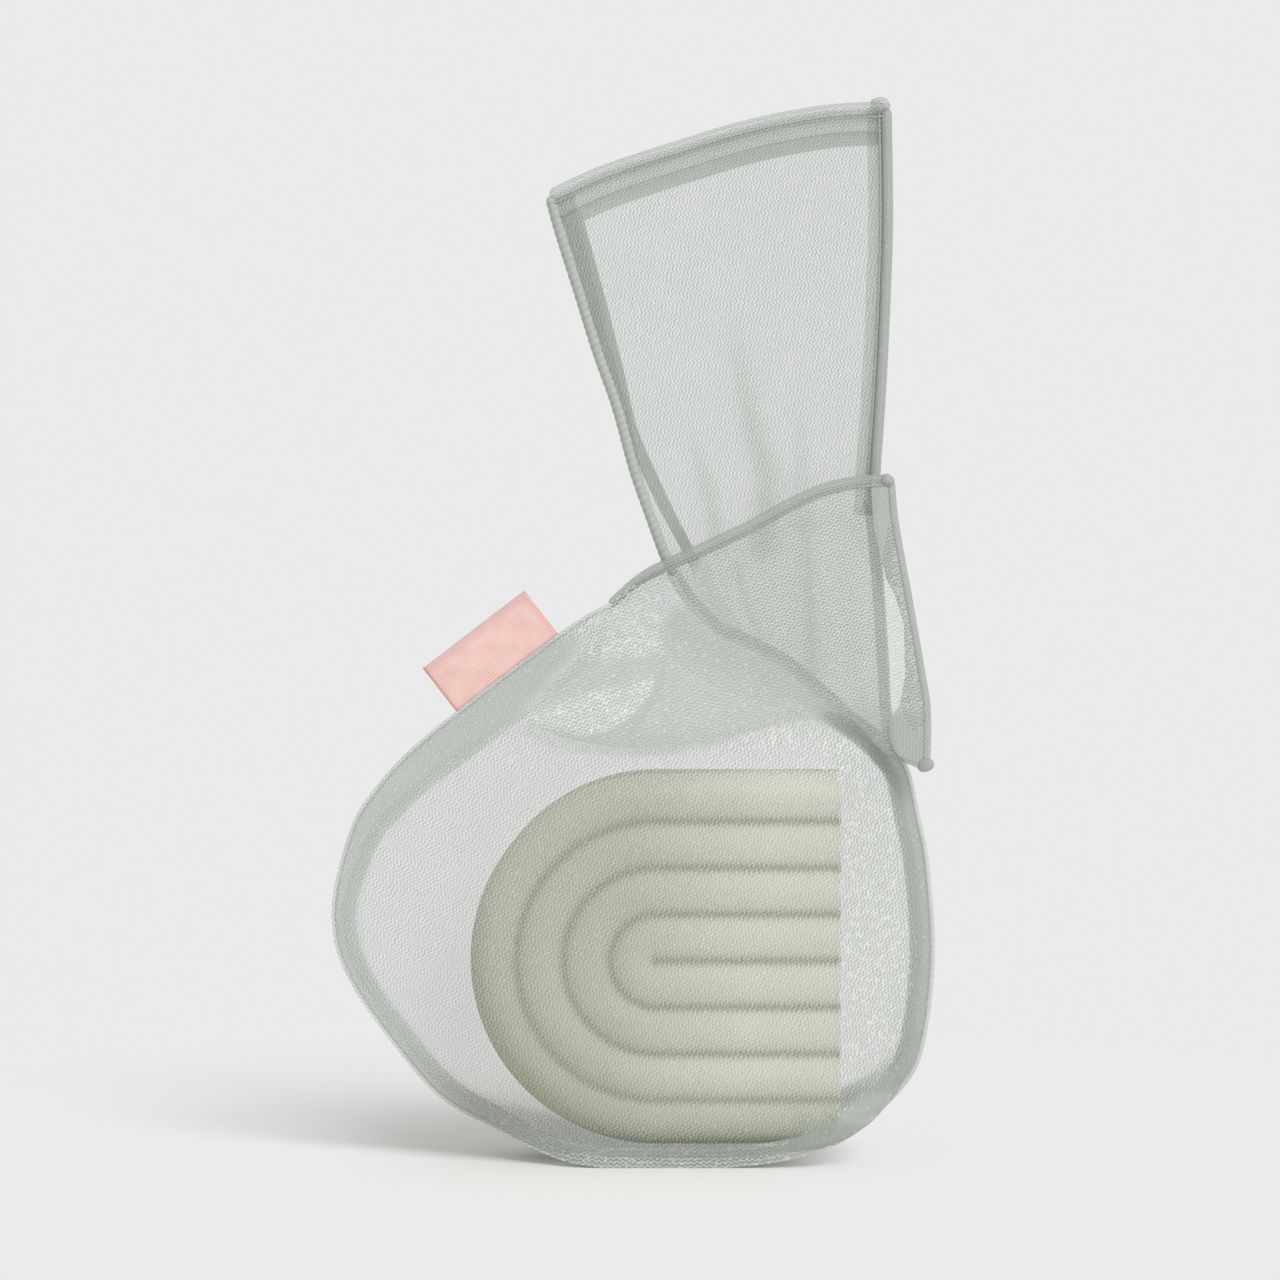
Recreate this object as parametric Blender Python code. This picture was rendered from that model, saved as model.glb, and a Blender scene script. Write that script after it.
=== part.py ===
"""Soap saver bag: a mesh pouch tied shut round a conditioner bar.

Metres, +Z up, the bag's front faces -Y. The origin is on the floor, under the
middle of the bag. The pouch has a front and a back panel joined by overlocked
rolls, and its mouth runs out into two ties that cross at the neck.
"""

import math

import bmesh
import bpy
from mathutils import Vector

MM = 0.001
CENTRE = 0.5
DIAMETER = 2
QUARTER = math.pi / 2

# The pouch, driving sizes
BAG_WIDTH = 105.2 * MM
BODY_HEIGHT = 97.8 * MM
CLOTH_THICKNESS = 0.6 * MM
TOUCH_GAP = 0.3 * MM
SEAM_RADIUS = 1.2 * MM
FOOT_HALF_DEPTH = 9.0 * MM
FOOT_FULL = 5.0 * MM
FOOT_FADE = 6.0 * MM
END_TRIM = TOUCH_GAP
MERGE_DISTANCE = 0.002 * MM

# The bar inside, sized with the bag that holds it
BAR_LENGTH_SHARE = 0.612167
BAR_HEIGHT_SHARE = 0.664622
BAR_SIDE_SHARE = -0.271
BAR_LENGTH = BAR_LENGTH_SHARE * BAG_WIDTH
BAR_RADIUS = CENTRE * BAR_HEIGHT_SHARE * BODY_HEIGHT
BAR_THICKNESS = 24.0 * MM
BAR_EDGE_ROUND = 4.0 * MM
BAR_CORNER_ROUND = 6.0 * MM
BAR_RIDGE_PITCH = 8.15 * MM
BAR_GROOVE_DEPTH = 1.0 * MM
BAR_LIFT = 3.8 * MM
BAR_CLEARANCE = 0.5 * MM
BAR_WRAP_ROUND = 0.6 * MM

# The two ties, driving sizes
TIE_GAP = 0.3 * MM
TIE_PLY = 0.5 * MM
TIE_SEAM_RADIUS = 1.1 * MM
NECK_BEAD_RADIUS = 0.8 * MM
REAR_TIE_WIDTH = 60.9 * MM
REAR_TIE_LENGTH = 81.3 * MM
REAR_TIE_BULGE = 1.3 * MM
FRONT_TIE_THICKNESS = 1.2 * MM
FRONT_TIE_STAND_OFF = 5.5 * MM
END_BULGE = 1.2 * MM
MOUTH_LIFT = 0.7 * MM
LEAST_DEPTH = 0.1 * MM

# The woven label, driving sizes
LABEL_WIDTH = 22.3 * MM
LABEL_REACH = 9.0 * MM
LABEL_TAPE = 0.35 * MM

# Outline of the pouch seen from the front, as shares of BAG_WIDTH and BODY_HEIGHT
LEFT_SEAM_SHARES = [
    (-0.047, 0.000), (-0.131, 0.016), (-0.207, 0.050), (-0.279, 0.086), (-0.330, 0.127),
    (-0.384, 0.196), (-0.448, 0.287), (-0.486, 0.358), (-0.500, 0.449), (-0.495, 0.487),
    (-0.472, 0.592), (-0.446, 0.645), (-0.386, 0.722), (-0.297, 0.804), (-0.125, 0.945),
    (-0.043, 1.000),
]
BOTTOM_SEAM_SHARES = [(-0.047, 0.0), (0.245, 0.0)]
RIGHT_SEAM_SHARES = [
    (0.245, 0.000), (0.302, 0.010), (0.356, 0.036), (0.401, 0.068), (0.436, 0.108),
    (0.466, 0.158), (0.485, 0.214), (0.495, 0.287), (0.500, 0.389), (0.493, 0.494),
    (0.486, 0.561), (0.473, 0.622), (0.457, 0.698), (0.429, 0.745), (0.388, 0.786),
    (0.338, 0.818),
]
MOUTH_SHARES = [(0.338, 0.818), (0.238, 0.820), (0.133, 0.854), (0.049, 0.910), (-0.043, 1.000)]
LABEL_FROM_SHARE = (-0.297, 0.804)
LABEL_TO_SHARE = (-0.125, 0.945)

# Hinge line of the standing tie at the neck, as shares of BAG_WIDTH and BODY_HEIGHT
NECK_FROM_SHARE = (0.040, 1.058)
NECK_TO_SHARE = (0.403, 1.220)

# Outline of the standing tie from the start of that line, as shares of its width and length
REAR_LEFT_SHARES = [
    (0.0, 0.0), (-0.053, 0.129), (-0.103, 0.267), (-0.177, 0.442), (-0.250, 0.611),
    (-0.286, 0.710), (-0.330, 0.809),
]
REAR_TOP_SHARES = [
    (-0.330, 0.809), (-0.177, 0.859), (-0.031, 0.897), (0.117, 0.931), (0.263, 0.964),
    (0.409, 0.986), (0.555, 0.999), (0.670, 1.000),
]
REAR_RIGHT_SHARES = [(0.640, 0.311), (0.660, 0.502), (0.670, 0.776), (0.673, 0.940), (0.670, 1.0)]

# Outline of the crossing tie in front, as shares of BAG_WIDTH and BODY_HEIGHT
CROSS_TOP_SHARES = [
    (-0.043, 1.000), (0.003, 1.046), (0.042, 1.075), (0.089, 1.102), (0.147, 1.138),
    (0.216, 1.176), (0.259, 1.199), (0.295, 1.216),
]
CROSS_LOW_SHARES = [
    (-0.135, 0.790), (-0.038, 0.762), (0.047, 0.752), (0.089, 0.758), (0.147, 0.779),
    (0.216, 0.802), (0.285, 0.810), (0.345, 0.806),
]
END_TOP_SHARES = [(0.343, 1.230), (0.401, 1.233), (0.428, 1.224)]
END_LOW_SHARES = [(0.408, 0.745), (0.469, 0.698), (0.492, 0.713)]
END_HEM_SHARES = [(0.428, 1.224), (0.448, 1.115), (0.462, 0.985), (0.480, 0.850), (0.492, 0.713)]
CROSS_REACH_SHARES = [0.0, 1.0, 1.0, 1.0]
WRAP_REACH_SHARES = [0.6, 0.9, 1.0, 1.0]

# How much lower than the upper roll the plies of the free end start, as a share of a roll
END_SLANT_SHARE = 1.8

# How far the front and back of the bag's face run in to the middle of the bar
FACE_SHARES = [0.0, 0.4, 0.75, 1.0]

# Counts of steps along curves and faces
CURVE_STEPS = 12
PERIMETER_STEPS = 56
WALL_STEPS = 4
EDGE_STEPS = 2
FOOT_STEPS = 2
TUBE_SIDES = 8
BAR_ARCH_STEPS = 14
RIDGE_STEPS = 4
ROUND_STEPS = 3
ARC_STEPS = 24
SIDE_SEAM_STEPS = 44
BOTTOM_SEAM_STEPS = 6
CROSS_STEPS = 12
CROSS_ROWS = 6
END_STEPS = 4
END_COLUMNS = 4
END_ROWS = 7
REAR_COLUMNS = 7
REAR_ROWS = 9
NECK_STEPS = 6
WRAP_ROWS = 5
BEAD_STEPS = 6
LABEL_FOLD_STEPS = 6

# Shape of a groove in the bar, and the angle above which an edge stays sharp
GROOVE_POWER = 3
SHARP_DEGREES = 40


def clear_scene():
    """Remove whatever the file starts with."""
    for obj in list(bpy.data.objects):
        bpy.data.objects.remove(obj, do_unlink=True)


def finish(name, colour, roughness):
    """A Principled material in one colour."""
    material = bpy.data.materials.new(name)
    material.use_nodes = True
    shader = material.node_tree.nodes["Principled BSDF"]
    shader.inputs["Base Color"].default_value = (*colour, 1.0)
    shader.inputs["Roughness"].default_value = roughness
    shader.inputs["Metallic"].default_value = 0.0
    material.diffuse_color = (*colour, 1.0)
    return material


def solid(name, points, faces, material, axis_point=None):
    """A closed mesh object whose origin is at axis_point."""
    origin = Vector(axis_point) if axis_point else Vector((0, 0, 0))
    mesh = bpy.data.meshes.new(name)
    mesh.from_pydata([Vector(p) - origin for p in points], [], faces)
    tidy = bmesh.new()
    tidy.from_mesh(mesh)
    bmesh.ops.remove_doubles(tidy, verts=tidy.verts, dist=MERGE_DISTANCE)
    bmesh.ops.dissolve_degenerate(tidy, edges=tidy.edges, dist=MERGE_DISTANCE)
    bmesh.ops.recalc_face_normals(tidy, faces=tidy.faces)
    tidy.to_mesh(mesh)
    tidy.free()
    mesh.shade_smooth()
    mesh.set_sharp_from_angle(angle=math.radians(SHARP_DEGREES))
    mesh.materials.append(material)
    obj = bpy.data.objects.new(name, mesh)
    obj.location = origin
    bpy.context.scene.collection.objects.link(obj)
    return obj


def placed(shares, width=BAG_WIDTH, height=BODY_HEIGHT):
    """Points in the X, Z plane from their shares of a width and a height."""
    return [Vector((across * width, up * height)) for across, up in shares]


def along(points, count):
    """count + 1 evenly spaced points on a smooth curve through the points."""
    fine = []
    for i in range(len(points) - 1):
        before = points[max(i - 1, 0)]
        start, stop = points[i], points[i + 1]
        after = points[min(i + 2, len(points) - 1)]
        for step in range(CURVE_STEPS):
            t = step / CURVE_STEPS
            fine.append(
                CENTRE * (
                    2 * start
                    + (stop - before) * t
                    + (2 * before - 5 * start + 4 * stop - after) * t**2
                    + (3 * start - before - 3 * stop + after) * t**3
                )
            )
    fine.append(points[-1].copy())
    reach = [0.0]
    for a, b in zip(fine, fine[1:]):
        reach.append(reach[-1] + (b - a).length)
    found, at = [], 0
    for step in range(count + 1):
        target = reach[-1] * step / count
        while at < len(fine) - 2 and reach[at + 1] < target:
            at += 1
        span = reach[at + 1] - reach[at]
        share = (target - reach[at]) / span if span else 0.0
        found.append(fine[at].lerp(fine[at + 1], min(share, 1.0)))
    return found


def at_share(points, share):
    """The point this share of the way along an evenly spaced list."""
    place = min(max(share, 0.0), 1.0) * (len(points) - 1)
    low = min(int(place), len(points) - 2)
    return points[low].lerp(points[low + 1], place - low)


def inward(points, closed=False):
    """Normals in the X, Z plane, to the left of the direction of travel.

    At a corner the normal is lengthened, so that an offset keeps its distance
    from both sides.
    """
    normals, last = [], len(points) - 1
    for i in range(len(points)):
        before = points[i - 1] if closed or i else None
        after = points[(i + 1) % len(points)] if closed or i < last else None
        first = (points[i] - before).normalized() if before is not None else None
        second = (after - points[i]).normalized() if after is not None else first
        first = first or second
        one, two = Vector((-first.y, first.x)), Vector((-second.y, second.x))
        normals.append((one + two) / (1 + one.dot(two)))
    return normals


def tube(name, route, radius, material, axis_point=None, sides=TUBE_SIDES):
    """A round cord of one radius along 3-D points, with flat ends."""
    points, faces = [], []
    last = len(route) - 1
    for i, place in enumerate(route):
        run = (route[min(i + 1, last)] - route[max(i - 1, 0)]).normalized()
        side = run.cross(Vector((0, 1, 0))).normalized()
        over = side.cross(run).normalized()
        for k in range(sides):
            turn = math.tau * (k + CENTRE) / sides
            points.append(place + radius * (math.cos(turn) * side + math.sin(turn) * over))
    for i in range(last):
        for k in range(sides):
            a, b = i * sides + k, i * sides + (k + 1) % sides
            faces.append((a, b, b + sides, a + sides))
    faces.append(tuple(range(sides)))
    faces.append(tuple(last * sides + k for k in range(sides)))
    return solid(name, points, faces, material, axis_point)


def sheet(name, front, back, material, axis_point=None):
    """A closed solid between two grids of the same rows and columns."""
    rows, columns = len(front), len(front[0])
    points = [p for row in front for p in row] + [p for row in back for p in row]
    half = rows * columns
    faces = []
    for r in range(rows - 1):
        for c in range(columns - 1):
            a = r * columns + c
            quad = (a, a + 1, a + columns + 1, a + columns)
            faces.append(quad)
            faces.append(tuple(half + k for k in reversed(quad)))
    rim = [r * columns for r in range(rows)]
    rim += [(rows - 1) * columns + c for c in range(1, columns)]
    rim += [r * columns + columns - 1 for r in range(rows - 2, -1, -1)]
    rim += [c for c in range(columns - 2, 0, -1)]
    for a, b in zip(rim, rim[1:] + rim[:1]):
        faces.append((a, b, half + b, half + a))
    return solid(name, points, faces, material, axis_point)


def ply(centre, depth, thickness):
    """Front and back grids of a cloth ply round a grid of centre points."""
    front = [[Vector((p.x, p.y + depth - thickness / DIAMETER, p.z)) for p in row] for row in centre]
    back = [[Vector((p.x, p.y + depth + thickness / DIAMETER, p.z)) for p in row] for row in centre]
    return front, back


# The bar

BAR_LEFT = BAR_SIDE_SHARE * BAG_WIDTH
BAR_CENTRE_X = BAR_LEFT + BAR_RADIUS
BAR_RIGHT = BAR_LEFT + BAR_LENGTH
BAR_CENTRE_Z = BAR_LIFT + BAR_RADIUS


def bar_end(offset):
    """Where the bar's flat end lies for a line this far from its middle."""
    past = max(offset - (BAR_RADIUS - BAR_CORNER_ROUND), 0.0)
    return BAR_RIGHT - BAR_CORNER_ROUND + math.sqrt(max(BAR_CORNER_ROUND**2 - past**2, 0.0))


def bar_line(offset, depth):
    """A U-shaped line round the bar, this far from its middle."""
    line = [Vector((bar_end(offset), depth, BAR_CENTRE_Z + offset))]
    for step in range(BAR_ARCH_STEPS + 1):
        turn = math.pi * (CENTRE + step / BAR_ARCH_STEPS)
        line.append(Vector((
            BAR_CENTRE_X + offset * math.cos(turn), depth, BAR_CENTRE_Z + offset * math.sin(turn)
        )))
    line.append(Vector((bar_end(offset), depth, BAR_CENTRE_Z - offset)))
    return line


def bar_profile():
    """Offsets from the middle, with the depth of the ridged front face at each."""
    half = BAR_THICKNESS / DIAMETER
    flat = BAR_RADIUS - BAR_EDGE_ROUND
    ridges = max(int(flat / BAR_RIDGE_PITCH), 1)
    profile = []
    for step in range(ridges * RIDGE_STEPS + 1):
        share = step / RIDGE_STEPS
        dip = abs(math.cos(math.pi * share)) ** GROOVE_POWER
        profile.append((share * BAR_RIDGE_PITCH, half - BAR_GROOVE_DEPTH * dip))
    profile.append((flat, half))
    for step in range(1, ROUND_STEPS + 1):
        turn = QUARTER * step / (ROUND_STEPS + CENTRE)
        profile.append((
            flat + BAR_EDGE_ROUND * math.sin(turn), half - BAR_EDGE_ROUND * (1 - math.cos(turn))
        ))
    return profile


def make_bar(material):
    """The arch-shaped bar, ridged on its front face."""
    half = BAR_THICKNESS / DIAMETER
    profile = bar_profile()
    front = [bar_line(offset, -depth) for offset, depth in profile]
    flat = BAR_RADIUS - BAR_EDGE_ROUND
    back = [bar_line(offset, half if offset <= flat else depth) for offset, depth in profile]
    columns, rows = len(front[0]), len(front)
    points = [p for row in front + back for p in row]
    half_count = rows * columns
    faces = []
    for r in range(rows - 1):
        for c in range(columns - 1):
            a = r * columns + c
            quad = (a, a + 1, a + columns + 1, a + columns)
            faces.append(quad)
            faces.append(tuple(half_count + k for k in reversed(quad)))
        for c in (0, columns - 1):
            a = r * columns + c
            faces.append((a, a + columns, half_count + a + columns, half_count + a))
    for c in range(columns - 1):
        a = (rows - 1) * columns + c
        faces.append((a, a + 1, half_count + a + 1, half_count + a))
    return solid("conditioner_bar", points, faces, material)


# The pouch

def perimeter():
    """Outline points of the pouch, each with whether a seam roll runs there."""
    runs = [
        (placed(BOTTOM_SEAM_SHARES), True),
        (placed(RIGHT_SEAM_SHARES), True),
        (placed(MOUTH_SHARES), False),
        (list(reversed(placed(LEFT_SEAM_SHARES))), True),
    ]
    lengths = [sum((b - a).length for a, b in zip(run, run[1:])) for run, _ in runs]
    total = sum(lengths)
    points, sewn = [], []
    for (run, has_seam), length in zip(runs, lengths):
        count = max(round(PERIMETER_STEPS * length / total), 3)
        found = along(run, count)[:-1]
        points += [Vector((p.x, max(p.y, 0.0))) for p in found]
        sewn += [True] + [has_seam] * (len(found) - 1)
    return points, sewn


def bar_edge():
    """Dense points round the inner line that the cloth turns over, anticlockwise."""
    radius = BAR_RADIUS - BAR_WRAP_ROUND
    corner = BAR_CORNER_ROUND - BAR_WRAP_ROUND
    right = BAR_RIGHT - BAR_WRAP_ROUND
    points = []

    def arc(centre_x, centre_z, size, start, quarters):
        """Add an arc that starts at a quarter turn's number and runs on for this many quarters."""
        for step in range(ARC_STEPS + 1):
            turn = QUARTER * (start + quarters * step / ARC_STEPS)
            points.append(Vector((centre_x + size * math.cos(turn), centre_z + size * math.sin(turn))))

    arc(BAR_CENTRE_X, BAR_CENTRE_Z, radius, 1, 2)
    arc(right - corner, BAR_CENTRE_Z - radius + corner, corner, 3, 1)
    arc(right - corner, BAR_CENTRE_Z + radius - corner, corner, 0, 1)
    return points


def nearest(point, loop):
    """The closest point to this one on a closed loop of short lines."""
    best, least = None, None
    for i, a in enumerate(loop):
        b = loop[(i + 1) % len(loop)]
        run = b - a
        share = (point - a).dot(run) / run.length_squared if run.length_squared else 0.0
        spot = a + run * min(max(share, 0.0), 1.0)
        gap = (point - spot).length
        if least is None or gap < least:
            best, least = spot, gap
    return best, least


def wall_profile(reach, rim_depth, foot, skin):
    """Points (out, depth) from the bar's face edge out to the rim of the cloth.

    reach is how far the rim lies from the line the cloth turns over, foot is
    the depth where the flat foot begins, and skin is 0 inside, 1 outside.
    """
    turn_radius = BAR_WRAP_ROUND + BAR_CLEARANCE + skin * CLOTH_THICKNESS
    height = BAR_THICKNESS / DIAMETER - BAR_WRAP_ROUND
    knee = Vector((reach, max(foot, rim_depth)))
    gap = knee - Vector((0, height))
    angle = math.atan2(gap.y, gap.x) + math.acos(min(turn_radius / gap.length, 1.0))
    points = []
    for step in range(EDGE_STEPS + 1):
        turn = QUARTER + (angle - QUARTER) * step / EDGE_STEPS
        points.append(Vector((turn_radius * math.cos(turn), height + turn_radius * math.sin(turn))))
    start = points[-1]
    for step in range(1, WALL_STEPS + 1):
        points.append(start.lerp(knee, step / WALL_STEPS))
    rim = Vector((reach, rim_depth))
    for step in range(1, FOOT_STEPS + 1):
        points.append(knee.lerp(rim, step / FOOT_STEPS))
    return points


def foot_share(distance):
    """1 where the outline hugs the bar, fading to 0 where the cloth hangs free."""
    share = min(max((distance - FOOT_FULL) / FOOT_FADE, 0.0), 1.0)
    return 1.0 - share * share * (3 - 2 * share)


def rim_place(foot, skin, has_seam):
    """How far in from the outline, and how deep, the rim of one skin of the cloth lies.

    The rim keeps its gap to the round seam roll: beside the roll where the
    cloth hangs free, and at its flank where the cloth lies flat on the floor.
    """
    if not has_seam:
        return 0.0, CENTRE * TOUCH_GAP + skin * CLOTH_THICKNESS
    turn = QUARTER * foot
    clear = SEAM_RADIUS + TOUCH_GAP
    free = CENTRE * TOUCH_GAP + skin * CLOTH_THICKNESS
    flat = SEAM_RADIUS - (1 - skin) * CLOTH_THICKNESS
    step = free + (flat - free) * foot
    inset = SEAM_RADIUS + math.cos(turn) * clear - math.sin(turn) * step
    return inset, math.sin(turn) * clear + math.cos(turn) * step


def make_panel(name, facing, material):
    """One side of the pouch: facing is -1 for the front and 1 for the back."""
    outline, sewn = perimeter()
    normals = inward(outline, closed=True)
    edge = bar_edge()
    skins = []
    for skin in (0, 1):
        columns = []
        for place, normal, has_seam in zip(outline, normals, sewn):
            distance = nearest(place, edge)[1] - BAR_WRAP_ROUND
            foot = foot_share(distance)
            inset, depth = rim_place(foot, skin, has_seam)
            flat = depth + foot * (FOOT_HALF_DEPTH - depth)
            rim = place + normal * inset
            spot, reach = nearest(rim, edge)
            way = (rim - spot).normalized()
            column = []
            for out, deep in wall_profile(reach, depth, flat, skin):
                p = spot + way * out
                column.append(Vector((p.x, facing * deep, p.y)))
            columns.append(column)
        skins.append(columns)
    points, faces = [], []
    middle = Vector((CENTRE * (BAR_CENTRE_X + BAR_RIGHT), BAR_CENTRE_Z))
    count = len(outline)
    rings = len(FACE_SHARES) - 1 + len(skins[0][0]) - 1
    starts = []
    for columns in skins:
        starts.append(len(points))
        height = columns[0][0].y
        points.append(Vector((middle.x, height, middle.y)))
        for share in FACE_SHARES[1:-1]:
            for column in columns:
                p = column[0]
                points.append(Vector((
                    middle.x + (p.x - middle.x) * share, height, middle.y + (p.z - middle.y) * share
                )))
        for level in range(len(columns[0])):
            points += [column[level] for column in columns]
    for start in starts:
        for k in range(count):
            n = (k + 1) % count
            faces.append((start, start + 1 + k, start + 1 + n))
            for ring in range(rings - 1):
                a = start + 1 + ring * count
                faces.append((a + k, a + count + k, a + count + n, a + n))
    low, high = (start + 1 + (rings - 1) * count for start in starts)
    for k in range(count):
        n = (k + 1) % count
        faces.append((low + k, low + n, high + n, high + k))
    return solid(name, points, faces, material)


def seam_route(shares, steps, turned=False):
    """Centre line of a roll that lies just inside the outline."""
    outline = [Vector((p.x, max(p.y, 0.0))) for p in along(placed(shares), steps)]
    side = -1 if turned else 1
    route = []
    for p, normal in zip(outline, inward(outline)):
        spot = p + side * SEAM_RADIUS * normal
        route.append(Vector((spot.x, 0.0, max(spot.y, SEAM_RADIUS))))
    return route


def trimmed(route, front=0.0, back=0.0):
    """The route with its ends drawn in by these lengths."""
    first = (route[1] - route[0]).normalized()
    last = (route[-1] - route[-2]).normalized()
    middle = route[1:-1]
    return [route[0] + first * front] + middle + [route[-1] - last * back]


def make_seams(material):
    """The overlocked rolls round the pouch."""
    left = seam_route(LEFT_SEAM_SHARES, SIDE_SEAM_STEPS, turned=True)
    right = seam_route(RIGHT_SEAM_SHARES, SIDE_SEAM_STEPS)
    bottom = seam_route(BOTTOM_SEAM_SHARES, BOTTOM_SEAM_STEPS)
    tube("side_seam_left", trimmed(left, END_TRIM, END_TRIM), SEAM_RADIUS, material)
    tube("side_seam_right", trimmed(right, END_TRIM, END_TRIM), SEAM_RADIUS, material)
    tube("bottom_seam", trimmed(bottom, END_TRIM, END_TRIM), SEAM_RADIUS, material)


# The crossing tie

def spread(values, share):
    """A smooth value between evenly spaced ones."""
    place = min(max(share, 0.0), 1.0) * (len(values) - 1)
    low = min(int(place), len(values) - 2)
    t = place - low
    t = t * t * (3 - 2 * t)
    return values[low] * (1 - t) + values[low + 1] * t


def cover_depth(place, outline, edge):
    """How far forward a cloth must lie at this place to pass over the front panel."""
    spot, to_bar = nearest(place, edge)
    way = (place - spot).normalized()
    across = Vector((-way.y, way.x))
    to_rim = 0.0
    for a, b in zip(outline, outline[1:] + outline[:1]):
        one, two = (a - place).dot(across), (b - place).dot(across)
        if (one > 0) != (two > 0):
            share = one / (one - two)
            to_rim = max(to_rim, (a.lerp(b, share) - place).dot(way))
    if to_rim <= 0.0:
        return 0.0
    face = BAR_THICKNESS / DIAMETER + BAR_CLEARANCE + CLOTH_THICKNESS
    room = CENTRE * FRONT_TIE_THICKNESS + CLOTH_THICKNESS + TOUCH_GAP
    return face * to_rim / (to_rim + to_bar) + room


def make_front_tie(cloth, thread):
    """The crossing tie where it covers the neck, with the roll on its upper edge."""
    outline, edge = perimeter()[0], bar_edge()
    low = along(placed(CROSS_LOW_SHARES), CROSS_STEPS)
    room = DIAMETER * SEAM_RADIUS + TOUCH_GAP
    top = along(placed(CROSS_TOP_SHARES[1:]), CROSS_STEPS)
    top = [p - room * n for p, n in zip(top, inward(top))]
    foot, head, out = end_axis()
    top[-1] = foot.lerp(head, 1 - room / (head - foot).length)
    half = CENTRE * FRONT_TIE_THICKNESS
    front, back = [], []
    for r in range(CROSS_ROWS + 1):
        near, far = [], []
        for c in range(CROSS_STEPS + 1):
            p = low[c].lerp(top[c], r / CROSS_ROWS)
            own = FRONT_TIE_STAND_OFF * spread(WRAP_REACH_SHARES, c / CROSS_STEPS)
            depth = max(own, cover_depth(p, outline, edge)) if c < CROSS_STEPS else own
            swell = half if c < CROSS_STEPS else NECK_BEAD_RADIUS
            near.append(Vector((p.x, -depth - swell, p.y)))
            far.append(Vector((p.x, -depth + swell, p.y)))
        for step in range(1, BEAD_STEPS // DIAMETER + 1):
            turn = math.pi * step / BEAD_STEPS
            spot = p + out * (NECK_BEAD_RADIUS * math.sin(turn))
            swell = max(NECK_BEAD_RADIUS * math.cos(turn), LEAST_DEPTH)
            near.append(Vector((spot.x, -depth - swell, spot.y)))
            far.append(Vector((spot.x, -depth + swell, spot.y)))
        front.append(near)
        back.append(far)
    sheet("front_tie_wrap", front, back, cloth)
    crest = along(placed(CROSS_TOP_SHARES), CROSS_STEPS)
    route = []
    for i, (p, n) in enumerate(zip(crest, inward(crest))):
        spot = p - SEAM_RADIUS * n
        depth = FRONT_TIE_STAND_OFF * spread(CROSS_REACH_SHARES, i / CROSS_STEPS)
        route.append(Vector((spot.x, -depth, spot.y)))
    tube("front_tie_top_seam", trimmed(route, END_TRIM, DIAMETER * END_TRIM), SEAM_RADIUS, thread)


def inset_patch(sides, insets, rows, columns):
    """A grid of X, Z points inside four evenly spaced sides, drawn in from each.

    sides and insets are in the order low, top, left, right. low and top run
    left to right, left and right run upwards.
    """
    low, top, left, right = sides
    width = CENTRE * ((low[-1] - low[0]).length + (top[-1] - top[0]).length)
    height = CENTRE * ((left[-1] - left[0]).length + (right[-1] - right[0]).length)
    grid = []
    for r in range(rows + 1):
        first, last = insets[0] / height, 1 - insets[1] / height
        v = first + (last - first) * r / rows
        row = []
        for c in range(columns + 1):
            start, stop = at_share(left, v), at_share(right, v)
            span = (stop - start).length
            first, last = insets[2] / span, 1 - insets[3] / span
            u = first + (last - first) * c / columns
            corners = low[0].lerp(low[-1], u).lerp(top[0].lerp(top[-1], u), v)
            row.append(start.lerp(stop, u) + at_share(low, u).lerp(at_share(top, u), v) - corners)
        grid.append(row)
    return grid


def make_plies(names, grid, bulge, depth, cloth, pivot):
    """Two plies of a flat tube of cloth that swells in its middle."""
    rows, columns = len(grid) - 1, len(grid[0]) - 1
    for name, side in zip(names, (-1, 1)):
        puffed = []
        for r, row in enumerate(grid):
            line = []
            for c, p in enumerate(row):
                swell = math.sin(math.pi * r / rows) * math.sin(math.pi * c / columns)
                out = CENTRE * (TIE_PLY + TIE_GAP) + bulge * swell
                line.append(Vector((p.x, side * out - depth, p.y)))
            puffed.append(line)
        sheet(name, *ply(puffed, 0.0, TIE_PLY), cloth, pivot)


def edge_roll(name, line, side, ends, depth, thread, pivot):
    """A tie's overlocked roll just inside one side of its outline."""
    route = []
    for p, n in zip(line, inward(line)):
        spot = p + side * TIE_SEAM_RADIUS * n
        route.append(Vector((spot.x, -depth, spot.y)))
    tube(name, trimmed(route, *ends), TIE_SEAM_RADIUS, thread, pivot)


def end_axis():
    """Foot and head of the line on which the free end turns, and the way out from it."""
    foot, head = placed([CROSS_LOW_SHARES[-1], CROSS_TOP_SHARES[-1]])
    run = (head - foot).normalized()
    return foot, head, Vector((run.y, -run.x))


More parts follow.
